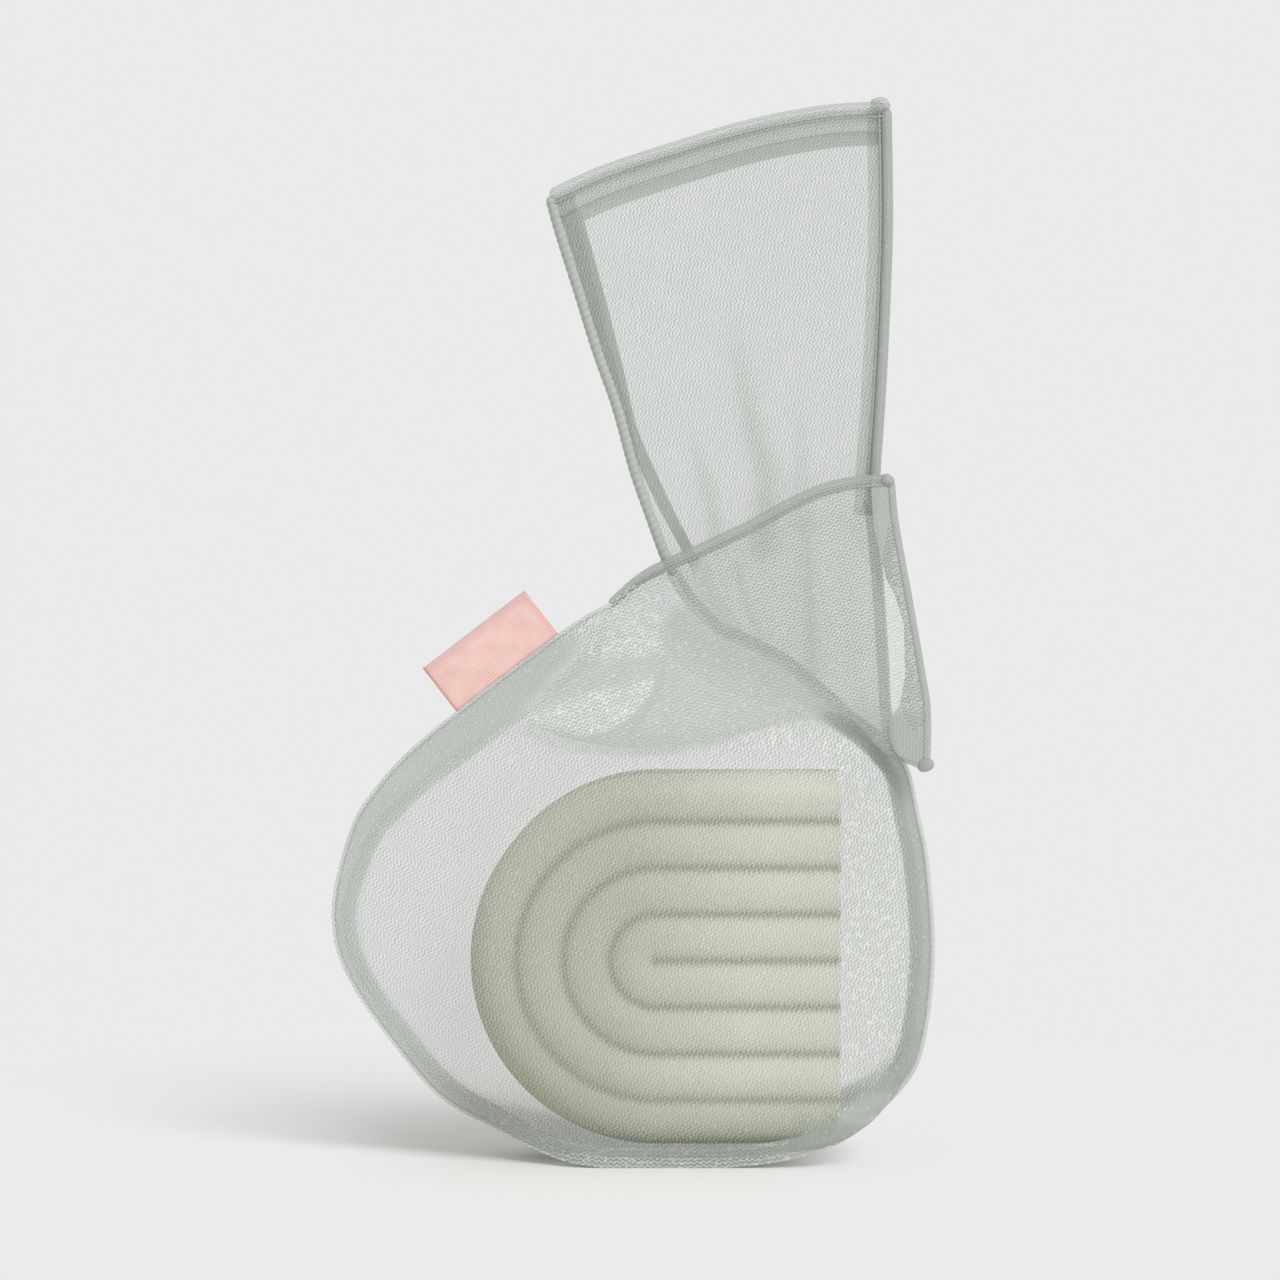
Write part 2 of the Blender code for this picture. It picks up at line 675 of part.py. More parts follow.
def make_front_tie_end(cloth, thread):
    """The crossing tie's free end: two plies, two rolls and the hem."""
    foot, head, out = end_axis()
    pivot = (foot.x, -FRONT_TIE_STAND_OFF, foot.y)
    across = DIAMETER * TIE_SEAM_RADIUS + DIAMETER * TIE_GAP
    clear = out * (NECK_BEAD_RADIUS + TIE_GAP)
    low = along([foot + clear] + placed(END_LOW_SHARES), END_STEPS)
    top = along([head + clear] + placed(END_TOP_SHARES), END_STEPS)
    hem = along(placed(reversed(END_HEM_SHARES)), END_ROWS)
    fold = along([low[0], top[0]], END_ROWS)
    sides = (low, top, fold, hem)
    insets = (across * END_SLANT_SHARE, across, 0.0, across)
    grid = inset_patch(sides, insets, END_ROWS, END_COLUMNS)
    names = ("front_tie_end_front_ply", "front_tie_end_back_ply")
    depth = FRONT_TIE_STAND_OFF
    make_plies(names, grid, CENTRE * END_BULGE, depth, cloth, pivot)
    edge_roll("front_tie_end_top_seam", top, -1, (0.0, across), depth, thread, pivot)
    edge_roll("front_tie_end_low_seam", low, 1, (0.0, across), depth, thread, pivot)
    edge_roll("front_tie_end_hem", hem, 1, (0.0, 0.0), depth, thread, pivot)


# The standing tie

def neck_line():
    """Start of the standing tie's hinge line, its direction, and its length."""
    start, stop = placed([NECK_FROM_SHARE, NECK_TO_SHARE])
    run = stop - start
    return start, run.normalized(), run.length


def rear_points(shares):
    """Points of the standing tie's outline, from its width and length."""
    start = neck_line()[0]
    return [start + Vector((across * REAR_TIE_WIDTH, up * REAR_TIE_LENGTH)) for across, up in shares]


def make_rear_tie(cloth, thread):
    """The standing tie: two plies, two rolls and the top hem."""
    start, run, span = neck_line()
    pivot = (start.x, 0.0, start.y)
    base = NECK_BEAD_RADIUS + TIE_GAP
    across = DIAMETER * TIE_SEAM_RADIUS + DIAMETER * TIE_GAP
    low = along([start, start + run * span], REAR_COLUMNS)
    left = along(rear_points(REAR_LEFT_SHARES), REAR_ROWS)
    right = along([start + run * span] + rear_points(REAR_RIGHT_SHARES), REAR_ROWS)
    top = along(rear_points(REAR_TOP_SHARES), REAR_COLUMNS)
    grid = inset_patch((low, top, left, right), (base, across, across, across), REAR_ROWS, REAR_COLUMNS)
    names = ("rear_tie_front_ply", "rear_tie_back_ply")
    make_plies(names, grid, REAR_TIE_BULGE, 0.0, cloth, pivot)
    edge_roll("rear_tie_left_seam", left, -1, (base + TIE_GAP, across), 0.0, thread, pivot)
    edge_roll("rear_tie_right_seam", right, 1, (base + TIE_GAP, across), 0.0, thread, pivot)
    edge_roll("rear_tie_top_hem", top, -1, (0.0, 0.0), 0.0, thread, pivot)


def make_rear_wrap(cloth):
    """The standing tie's root, gathered behind the crossing tie up to the neck."""
    start, run, span = neck_line()
    rise = Vector((-run.y, run.x))
    low = along([p + Vector((0, MOUTH_LIFT)) for p in placed(reversed(MOUTH_SHARES[:-1]))], NECK_STEPS)
    radius = NECK_BEAD_RADIUS
    half = CENTRE * FRONT_TIE_THICKNESS
    front, back = [], []
    for r in range(WRAP_ROWS + 1):
        rows = ([], [])
        for c in range(NECK_STEPS + 1):
            crest = start + run * (span * c / NECK_STEPS) - rise * radius
            p = low[c].lerp(crest, r / WRAP_ROWS)
            rows[0].append(Vector((p.x, -half, p.y)))
            rows[1].append(Vector((p.x, half, p.y)))
        front.append(rows[0])
        back.append(rows[1])
    for step in range(1, BEAD_STEPS):
        turn = QUARTER * step / BEAD_STEPS
        rows = ([], [])
        for c in range(NECK_STEPS + 1):
            crest = start + run * (span * c / NECK_STEPS)
            p = crest - rise * radius * math.cos(DIAMETER * turn)
            deep = max(radius * math.sin(DIAMETER * turn), LEAST_DEPTH)
            rows[0].append(Vector((p.x, -deep, p.y)))
            rows[1].append(Vector((p.x, deep, p.y)))
        front.append(rows[0])
        back.append(rows[1])
    sheet("rear_tie_wrap", front, back, cloth)


# The label

def make_label(material):
    """A tape folded over, with both ends caught in the left seam."""
    low, high = placed([LABEL_FROM_SHARE, LABEL_TO_SHARE])
    run = (high - low).normalized()
    out = Vector((-run.y, run.x))
    middle = low.lerp(high, CENTRE) - out * SEAM_RADIUS
    base = SEAM_RADIUS + TOUCH_GAP
    gap = CENTRE * LABEL_TAPE
    outer = gap + LABEL_TAPE
    profile = [(base, -outer), (LABEL_REACH + SEAM_RADIUS - outer, -outer)]
    for step in range(1, LABEL_FOLD_STEPS):
        turn = math.pi * (step / LABEL_FOLD_STEPS - CENTRE)
        profile.append((LABEL_REACH + SEAM_RADIUS - outer + outer * math.cos(turn), outer * math.sin(turn)))
    profile += [(LABEL_REACH + SEAM_RADIUS - outer, outer), (base, outer), (base, gap)]
    profile.append((LABEL_REACH + SEAM_RADIUS - outer, gap))
    profile += [(LABEL_REACH + SEAM_RADIUS - outer, -gap), (base, -gap)]
    points, faces = [], []
    for side in (-CENTRE, CENTRE):
        spot = middle + run * (side * LABEL_WIDTH)
        for reach, deep in profile:
            p = spot + out * reach
            points.append(Vector((p.x, deep, p.y)))
    count = len(profile)
    for k in range(count):
        n = (k + 1) % count
        faces.append((k, n, count + n, count + k))
    faces.append(tuple(range(count)))
    faces.append(tuple(range(count, DIAMETER * count)))
    return solid("woven_label", points, faces, material, (middle.x, 0.0, middle.y))


def main():
    """Make every piece."""
    clear_scene()
    mesh_cloth = finish("sage_mesh", (0.62, 0.68, 0.63), 0.8)
    mesh_thread = finish("sage_thread", (0.50, 0.56, 0.51), 0.85)
    wax = finish("pale_sage_wax", (0.60, 0.62, 0.52), 0.45)
    satin = finish("pink_satin", (0.86, 0.56, 0.50), 0.5)
    make_bar(wax)
    make_panel("body_front_panel", -1, mesh_cloth)
    make_panel("body_back_panel", 1, mesh_cloth)
    make_seams(mesh_thread)
    make_front_tie(mesh_cloth, mesh_thread)
    make_front_tie_end(mesh_cloth, mesh_thread)
    make_rear_wrap(mesh_cloth)
    make_rear_tie(mesh_cloth, mesh_thread)
    make_label(satin)


main()
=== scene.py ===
"""Looks of the soap saver bag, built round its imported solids.

Metres, +Z up, the bag's front faces -Y. Every cloth piece is a thin surface
made of a grid of points, with the number of plies and the run of the cloth kept
on its points, so that one knitted finish dresses them all. The overlocked
edges are ribbed rolls of thread, and the seam allowances are narrow bands that
show through the mesh. Outlines are lists of X and Z in millimetres.
"""

import logging
import math
from dataclasses import dataclass
from enum import Enum
from typing import Sequence, Union

import bmesh
import bpy
import numpy as np
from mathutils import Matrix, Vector


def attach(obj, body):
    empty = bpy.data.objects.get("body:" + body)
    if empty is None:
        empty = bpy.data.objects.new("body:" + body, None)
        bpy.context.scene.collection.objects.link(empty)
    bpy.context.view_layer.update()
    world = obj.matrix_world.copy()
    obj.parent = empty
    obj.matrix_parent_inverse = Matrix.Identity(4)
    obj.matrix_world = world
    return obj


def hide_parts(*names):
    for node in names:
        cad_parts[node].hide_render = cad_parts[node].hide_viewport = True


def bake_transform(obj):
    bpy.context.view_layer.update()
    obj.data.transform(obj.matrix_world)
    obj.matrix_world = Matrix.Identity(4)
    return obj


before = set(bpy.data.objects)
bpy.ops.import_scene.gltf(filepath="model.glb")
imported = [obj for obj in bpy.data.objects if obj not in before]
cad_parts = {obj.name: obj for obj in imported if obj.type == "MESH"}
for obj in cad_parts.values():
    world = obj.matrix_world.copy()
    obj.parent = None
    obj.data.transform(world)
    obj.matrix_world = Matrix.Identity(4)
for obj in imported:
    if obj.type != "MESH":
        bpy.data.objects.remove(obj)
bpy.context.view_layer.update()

MM = 0.001
log = logging.getLogger("soap_saver_bag")

Colour = tuple[float, float, float]
Points = np.ndarray
Length = Union[float, Points]
Outline = Sequence[tuple[float, float]]
Piece = bpy.types.Object
Material = bpy.types.Material
Wire = bpy.types.NodeSocket
Socket = Union[Wire, float, Colour]


def from_screen(red: int, green: int, blue: int) -> Colour:
    """A linear colour from its three screen values of 0 to 255.

    Args:
        red: The red screen value.
        green: The green screen value.
        blue: The blue screen value.

    Returns:
        The colour as linear light.
    """
    shares = (red / 255, green / 255, blue / 255)
    return tuple(s / 12.92 if s <= 0.04045 else ((s + 0.055) / 1.055) ** 2.4 for s in shares)


# Lines and grids


def in_mm(points: Outline) -> Points:
    """Points written in millimetres, as an array in metres."""
    return np.asarray(points, float) * MM


def reach_along(line: Points) -> Points:
    """The distance from the start of a line to each of its points."""
    return np.r_[0, np.cumsum(np.linalg.norm(np.diff(line, axis=0), axis=1))]


def smooth_line(points: Points, count: int) -> Points:
    """Evenly spaced points on a smooth curve.

    Args:
        points: The points that the curve passes through, in two or three dimensions.
        count: How many steps the curve is cut into.

    Returns:
        An array of count + 1 points.
    """
    p = np.asarray(points, float)
    held = np.vstack([p[:1], p, p[-1:]])
    t = np.linspace(0, 1, 12, endpoint=False)[:, None]
    fine = []
    for a, b, c, d in zip(held, held[1:], held[2:], held[3:]):
        bend = (2 * a - 5 * b + 4 * c - d) * t**2 + (3 * b - a - 3 * c + d) * t**3
        fine.append(0.5 * (2 * b + (c - a) * t + bend))
    line = np.vstack(fine + [p[-1:]])
    reach = reach_along(line)
    at = np.linspace(0, reach[-1], count + 1)
    return np.stack([np.interp(at, reach, line[:, k]) for k in range(p.shape[1])], axis=1)


def left_normals(line: Points, closed: bool = False) -> Points:
    """Unit normals to the left of a line's direction, in the X, Z plane.

    Args:
        line: The line's points in X and Z.
        closed: Whether the last point joins the first.

    Returns:
        One normal for each point.
    """
    if closed:
        run = np.roll(line, -1, axis=0) - np.roll(line, 1, axis=0)
    else:
        run = np.gradient(line, axis=0)
    run = run / np.linalg.norm(run, axis=1)[:, None]
    return np.stack([-run[:, 1], run[:, 0]], axis=1)


def nearest_on(line: Points, points: Points, closed: bool = False) -> tuple[Points, Points]:
    """The closest spots on a line to some points.

    Args:
        line: The line's points in X and Z.
        points: The points to measure from.
        closed: Whether the line's last point joins its first.

    Returns:
        The spots, and how far each is from its point.
    """
    a = line if closed else line[:-1]
    b = np.roll(line, -1, axis=0) if closed else line[1:]
    run = b - a
    long = np.maximum((run**2).sum(1), 1e-18)
    share = ((points[:, None, :] - a[None]) * run[None]).sum(2) / long[None]
    spot = a[None] + np.clip(share, 0, 1)[:, :, None] * run[None]
    gap = np.linalg.norm(points[:, None, :] - spot, axis=2)
    best = gap.argmin(1)
    rows = np.arange(len(points))
    return spot[rows, best], gap[rows, best]


def inside(loop: Points, points: Points) -> Points:
    """Which points lie inside a closed loop.

    Args:
        loop: The loop's points in X and Z.
        points: The points to test.

    Returns:
        True or false for each point.
    """
    a, b = loop, np.roll(loop, -1, axis=0)
    x, z = points[:, None, 0], points[:, None, 1]
    spans = (a[None, :, 1] > z) != (b[None, :, 1] > z)
    rise = np.where(np.abs(b[:, 1] - a[:, 1]) < 1e-12, 1e-12, b[:, 1] - a[:, 1])
    cross = a[:, 0] + (z - a[:, 1]) / rise * (b[:, 0] - a[:, 0])
    return (spans & (x < cross)).sum(1) % 2 == 1


def smooth_step(value: Points) -> Points:
    """0 below 0, 1 above 1, and smooth between them."""
    t = np.clip(value, 0, 1)
    return t * t * (3 - 2 * t)


@dataclass(frozen=True)
class Climb:
    """A smooth change from 0 to 1 over a stretch, its start and length in millimetres."""

    start: float
    length: float

    def at(self, places: Points) -> Points:
        """How far the change has come at some distances in metres."""
        return smooth_step((places - self.start * MM) / (self.length * MM))

    def before(self, places: Points) -> Points:
        """How much of the change is still to come at some distances in metres."""
        return 1 - self.at(places)


def patch(low: Points, top: Points, left: Points, right: Points, rows: int, columns: int) -> Points:
    """A grid of points spanned smoothly between four sides that share their corners.

    Args:
        low: The lower side, left to right.
        top: The upper side, left to right.
        left: The left side, upwards.
        right: The right side, upwards.
        rows: How many steps up.
        columns: How many steps across.

    Returns:
        An array of rows + 1 by columns + 1 points.
    """
    low, top = smooth_line(low, columns), smooth_line(top, columns)
    left, right = smooth_line(left, rows), smooth_line(right, rows)
    u = np.linspace(0, 1, columns + 1)[None, :, None]
    v = np.linspace(0, 1, rows + 1)[:, None, None]
    across = left[:, None] * (1 - u) + right[:, None] * u
    up = low[None] * (1 - v) + top[None] * v
    corners = (low[0] * (1 - u) + low[-1] * u) * (1 - v) + (top[0] * (1 - u) + top[-1] * u) * v
    return across + up - corners


def lift(line: Points, depth: Length) -> Points:
    """Points in X and Z as points in space at a depth in Y."""
    deep = np.broadcast_to(np.asarray(depth, float), len(line))
    return np.stack([line[:, 0], deep, line[:, 1]], axis=1)


def run_of_cloth(flat: Points, degrees: float) -> Points:
    """How far along its courses and across them each place of a cloth lies.

    Args:
        flat: The places in X and Z.
        degrees: How far the courses are turned from level.

    Returns:
        Two lengths for each place.
    """
    tilt = math.radians(degrees)
    return flat @ np.array([[math.cos(tilt), math.sin(tilt)], [-math.sin(tilt), math.cos(tilt)]])


# Finishes


class Nodes:
    """Short calls for the node tree of one material."""

    def __init__(self, name: str) -> None:
        """Start a material with its shader.

        Args:
            name: The material's name.
        """
        self.material = bpy.data.materials.new(name)
        self.material.use_nodes = True
        self.tree = self.material.node_tree
        self.shader = self.tree.nodes["Principled BSDF"]

    def put(self, socket: Wire, value: Socket) -> None:
        """Link a socket to another one, or set it to a number or colour.

        Args:
            socket: The socket that takes the value.
            value: Another node's output, a number or a colour.
        """
        if isinstance(value, Wire):
            self.tree.links.new(value, socket)
        elif isinstance(value, (int, float)):
            socket.default_value = value
        else:
            socket.default_value = (*value, 1.0) if len(socket.default_value) == 4 else value

    def shade(self, values: dict[str, Socket]) -> None:
        """Set inputs of the shader, each given by its name."""
        for name, value in values.items():
            self.put(self.shader.inputs[name], value)

    def math(self, operation: str, one: Socket, two: Socket = 0.0, clamp: bool = False) -> Wire:
        """One step of arithmetic.

        Args:
            operation: The name of the Math node's operation.
            one: The first value.
            two: The second value, where the operation has one.
            clamp: Whether the result is kept from 0 to 1.

        Returns:
            The result's socket.
        """
        node = self.tree.nodes.new("ShaderNodeMath")
        node.operation = operation
        node.use_clamp = clamp
        self.put(node.inputs[0], one)
        self.put(node.inputs[1], two)
        return node.outputs[0]

    def plus(self, one: Socket, two: Socket, clamp: bool = False) -> Wire:
        """The sum of two values."""
        return self.math("ADD", one, two, clamp)

    def minus(self, one: Socket, two: Socket, clamp: bool = False) -> Wire:
        """The first value less the second."""
        return self.math("SUBTRACT", one, two, clamp)

    def times(self, one: Socket, two: Socket, clamp: bool = False) -> Wire:
        """The product of two values."""
        return self.math("MULTIPLY", one, two, clamp)

    def over(self, one: Socket, two: Socket, clamp: bool = False) -> Wire:
        """The first value divided by the second."""
        return self.math("DIVIDE", one, two, clamp)

    def attribute(self, name: str) -> bpy.types.Node:
        """The node that reads a value kept on the mesh's points.

        Args:
            name: The value's name on the mesh.

        Returns:
            The node.
        """
        node = self.tree.nodes.new("ShaderNodeAttribute")
        node.attribute_name = name
        return node

    def parts(self, vector: Socket) -> bpy.types.NodeOutputs:
        """The three numbers of a vector.

        Args:
            vector: The vector's socket.

        Returns:
            A socket for each number.
        """
        node = self.tree.nodes.new("ShaderNodeSeparateXYZ")
        self.put(node.inputs[0], vector)
        return node.outputs

    def noise(self, vector: Socket, scale: float, detail: float = 2.0) -> Wire:
        """Cloudy values of about 0 to 1.

        Args:
            vector: Where on the piece the clouds are read.
            scale: How many clouds there are to a metre.
            detail: How many finer layers of clouds are added.

        Returns:
            The value's socket.
        """
        node = self.tree.nodes.new("ShaderNodeTexNoise")
        self.put(node.inputs["Vector"], vector)
        node.inputs["Scale"].default_value = scale
        node.inputs["Detail"].default_value = detail
        return node.outputs["Fac"]

    def drift(self, vector: Socket, scale: float, reach: float, detail: float = 2.0) -> Wire:
        """Cloudy values on both sides of 0.

        Args:
            vector: Where on the piece the clouds are read.
            scale: How many clouds there are to a metre.
            reach: How far apart the lowest and highest values are.
            detail: How many finer layers of clouds are added.

        Returns:
            The value's socket.
        """
        return self.times(self.minus(self.noise(vector, scale, detail), 0.5), reach)

    def mix(self, share: Socket, one: Socket, two: Socket) -> Wire:
        """A colour between two.

        Args:
            share: How much of the second colour there is, from 0 to 1.
            one: The first colour.
            two: The second colour.

        Returns:
            The colour's socket.
        """
        node = self.tree.nodes.new("ShaderNodeMix")
        node.data_type = "RGBA"
        for key, value in ((0, share), (6, one), (7, two)):
            self.put(node.inputs[key], value)
        return node.outputs[2]

    def wave(self, phase: Socket) -> Wire:
        """A smooth wave of 0 to 1 that repeats with each whole number of the phase."""
        turn = self.math("SINE", self.times(phase, math.tau))
        return self.plus(self.times(turn, 0.5), 0.5)

    def zigzag(self, along: Socket, length: float) -> Wire:
        """A value that runs from 0 to 1 and back once in each length."""
        return self.math("PINGPONG", self.times(along, 2 / length), 1.0)

    def bump(self, height: Socket, distance: float, strength: float) -> None:
        """Give the shader a relief.

        Args:
            height: How high each place is, from 0 to 1.
            distance: The relief's depth in metres.
            strength: How strongly it shows.
        """
        node = self.tree.nodes.new("ShaderNodeBump")
        node.inputs["Strength"].default_value = strength
        node.inputs["Distance"].default_value = distance
        self.put(node.inputs["Height"], height)
        self.put(self.shader.inputs["Normal"], node.outputs[0])


@dataclass(frozen=True)
class MeshCloth:
    """Fine knitted mesh whose zigzag courses let the light through between them. Its thread is coloured dark
    as painted shade, with white painted highlights along the courses and scattered white dots of painted
    highlight.
    """

    name: str
    course: float = 0.70 * MM
    zigzag: float = 1.08 * MM
    sway: float = 0.62
    cloud: float = 7.0 * MM
    slow_drift: float = 1.3
    quick_drift: float = 0.55
    flecks: float = 0.9 / MM
    painted_sparkle_scale: float = 1.6 / MM
    painted_sparkle_level: float = 0.61
    painted_sparkle_gain: float = 6.0
    bold_painted_sparkle: float = 0.09
    # The dark thread colour is the thread in painted shade and the white one below it is its painted
    # highlight; with their covers they average to the stacked colour.
    yarn_in_painted_shade: Colour = from_screen(134, 149, 134)
    painted_glint: Colour = from_screen(250, 252, 250)
    stack: Colour = from_screen(175, 183, 174)
    thin: float = 0.04
    thick: float = 0.31
    painted_glint_cover: float = 0.24
    mean: float = 0.225
    patches: float = 90.0
    patchy: float = 0.3
    yarn_power: float = 1.4
    painted_glint_power: float = 3.0
    stack_power: float = -0.9
    bold_share: float = 0.85
    painted_sparkle_share: float = 0.35
    painted_sparkle_tint: float = 0.4

    def build(self) -> Material:
        """Make the material.

        Returns:
            The new material.
        """
        n = Nodes(self.name)
        grain = n.attribute("grain").outputs["Vector"]
        plies = n.attribute("plies").outputs["Fac"]
        across, along, third = n.parts(grain)
        # Where the mesh is bold its courses show crisper and its painted highlights are stronger.
        bold = n.times(third, 1 / MM)
        painted_glint_boost = n.math("MAXIMUM", bold, 0.0)
        slow = n.drift(grain, 1 / self.cloud, self.slow_drift)
        quick = n.drift(grain, self.flecks, self.quick_drift, detail=1.0)
        phase = n.plus(n.times(along, 1 / self.course), n.times(n.zigzag(across, self.zigzag), self.sway))
        wave = n.wave(n.plus(phase, n.plus(slow, quick)))
        # Painted highlight: scattered white dots, more of them where the mesh is bold.
        painted_sparkle_noise = n.plus(n.noise(grain, self.painted_sparkle_scale, 1.0), n.times(painted_glint_boost, self.bold_painted_sparkle))
        painted_sparkle = n.times(n.minus(painted_sparkle_noise, self.painted_sparkle_level), self.painted_sparkle_gain, clamp=True)
        # Painted highlight: white lines between the dark courses, which also add to the cover.
        painted_glint_mask = n.math("POWER", n.minus(1.0, wave), self.painted_glint_power)
        painted_glint_mask = n.plus(painted_glint_mask, n.times(painted_sparkle, self.painted_sparkle_share), clamp=True)
        yarns = n.plus(n.times(n.math("POWER", wave, self.yarn_power), self.thick), self.thin)
        painted_glint_gain = n.plus(n.times(painted_glint_boost, self.painted_glint_cover), self.painted_glint_cover)
        cover = n.plus(yarns, n.times(painted_glint_mask, painted_glint_gain))
        crisp = self.crispness(n, plies, bold)
        cover = n.plus(n.times(n.minus(cover, self.mean), crisp), self.mean)
        patches = n.times(n.noise(grain, self.patches), self.patchy)
        cover = n.times(cover, n.plus(patches, 1 - self.patchy / 2))
        clear = n.math("POWER", n.minus(1.0, cover), plies)
        # The colour: the thread in painted shade with white painted highlights, blurred towards the stacked
        # colour where plies pile up.
        colour = n.mix(crisp, self.stack, n.mix(painted_glint_mask, self.yarn_in_painted_shade, self.painted_glint))
        n.shade({
            "Alpha": n.minus(1.0, clear, clamp=True),
            "Base Color": n.mix(n.times(painted_sparkle, self.painted_sparkle_tint), colour, self.painted_glint),
            "Roughness": n.plus(n.times(wave, 0.2), 0.6),
            "Sheen Weight": 0.05,
            "Specular IOR Level": 0.3,
        })
        n.bump(n.times(wave, crisp), 0.06 * MM, 0.4)
        return n.material

    def crispness(self, n: Nodes, plies: Socket, bold: Socket) -> Wire:
        """How clearly the courses show: less where plies lie on each other, more where the mesh is bold.

        Args:
            n: The material's nodes.
            plies: How many plies lie on each other.
            bold: From -1 where the mesh is blurred to 1 where it is bold.

        Returns:
            The share's socket.
        """
        stacked = n.math("POWER", n.math("MAXIMUM", plies, 1.0), self.stack_power)
        kept = n.math("MAXIMUM", stacked, n.times(bold, self.bold_share))
        return n.times(kept, n.plus(n.math("MINIMUM", bold, 0.0), 1.0))


@dataclass(frozen=True)
class OverlockThread:
    """Soft thread laid in ribs over a cloth edge, with painted shade in the dips between the ribs and painted
    light on their tops.
    """

    name: str
    dark_thread_and_painted_hollow_shade: Colour = from_screen(154, 164, 153)
    light_thread_and_painted_crest_light: Colour = from_screen(192, 198, 190)
    strand: float = 0.28 * MM
    slant: float = 0.6
    flecks: float = 0.9 / MM
    hairs: float = 2.4 / MM
    rib_share: float = 0.25
    strand_share: float = 0.3
    fuzz_share: float = 0.55

    def build(self) -> Material:
        """Make the material.

        Returns:
            The new material.
        """
        n = Nodes(self.name)
        grain = n.attribute("grain").outputs["Vector"]
        rib = n.attribute("plies").outputs["Fac"]
        along, around, _ = n.parts(grain)
        slanted = n.plus(along, n.times(around, self.slant))
        strands = n.wave(n.plus(n.times(slanted, 1 / self.strand), n.noise(grain, self.flecks, 1.0)))
        fuzz = n.noise(grain, self.hairs, 2.0)
        # Painted shade and light: the rib height darkens the dips and lightens the tops; the strands and fuzz
        # vary the thread's own colour.
        mixed = n.plus(n.times(rib, self.rib_share), n.times(strands, self.strand_share))
        mixed = n.plus(mixed, n.times(fuzz, self.fuzz_share), clamp=True)
        n.shade({
            "Base Color": n.mix(mixed, self.dark_thread_and_painted_hollow_shade, self.light_thread_and_painted_crest_light),
            "Roughness": n.plus(n.times(fuzz, 0.2), 0.75),
            "Sheen Weight": 0.08,
            "Specular IOR Level": 0.2,
        })
        n.bump(n.plus(strands, fuzz), 0.05 * MM, 0.5)
        return n.material


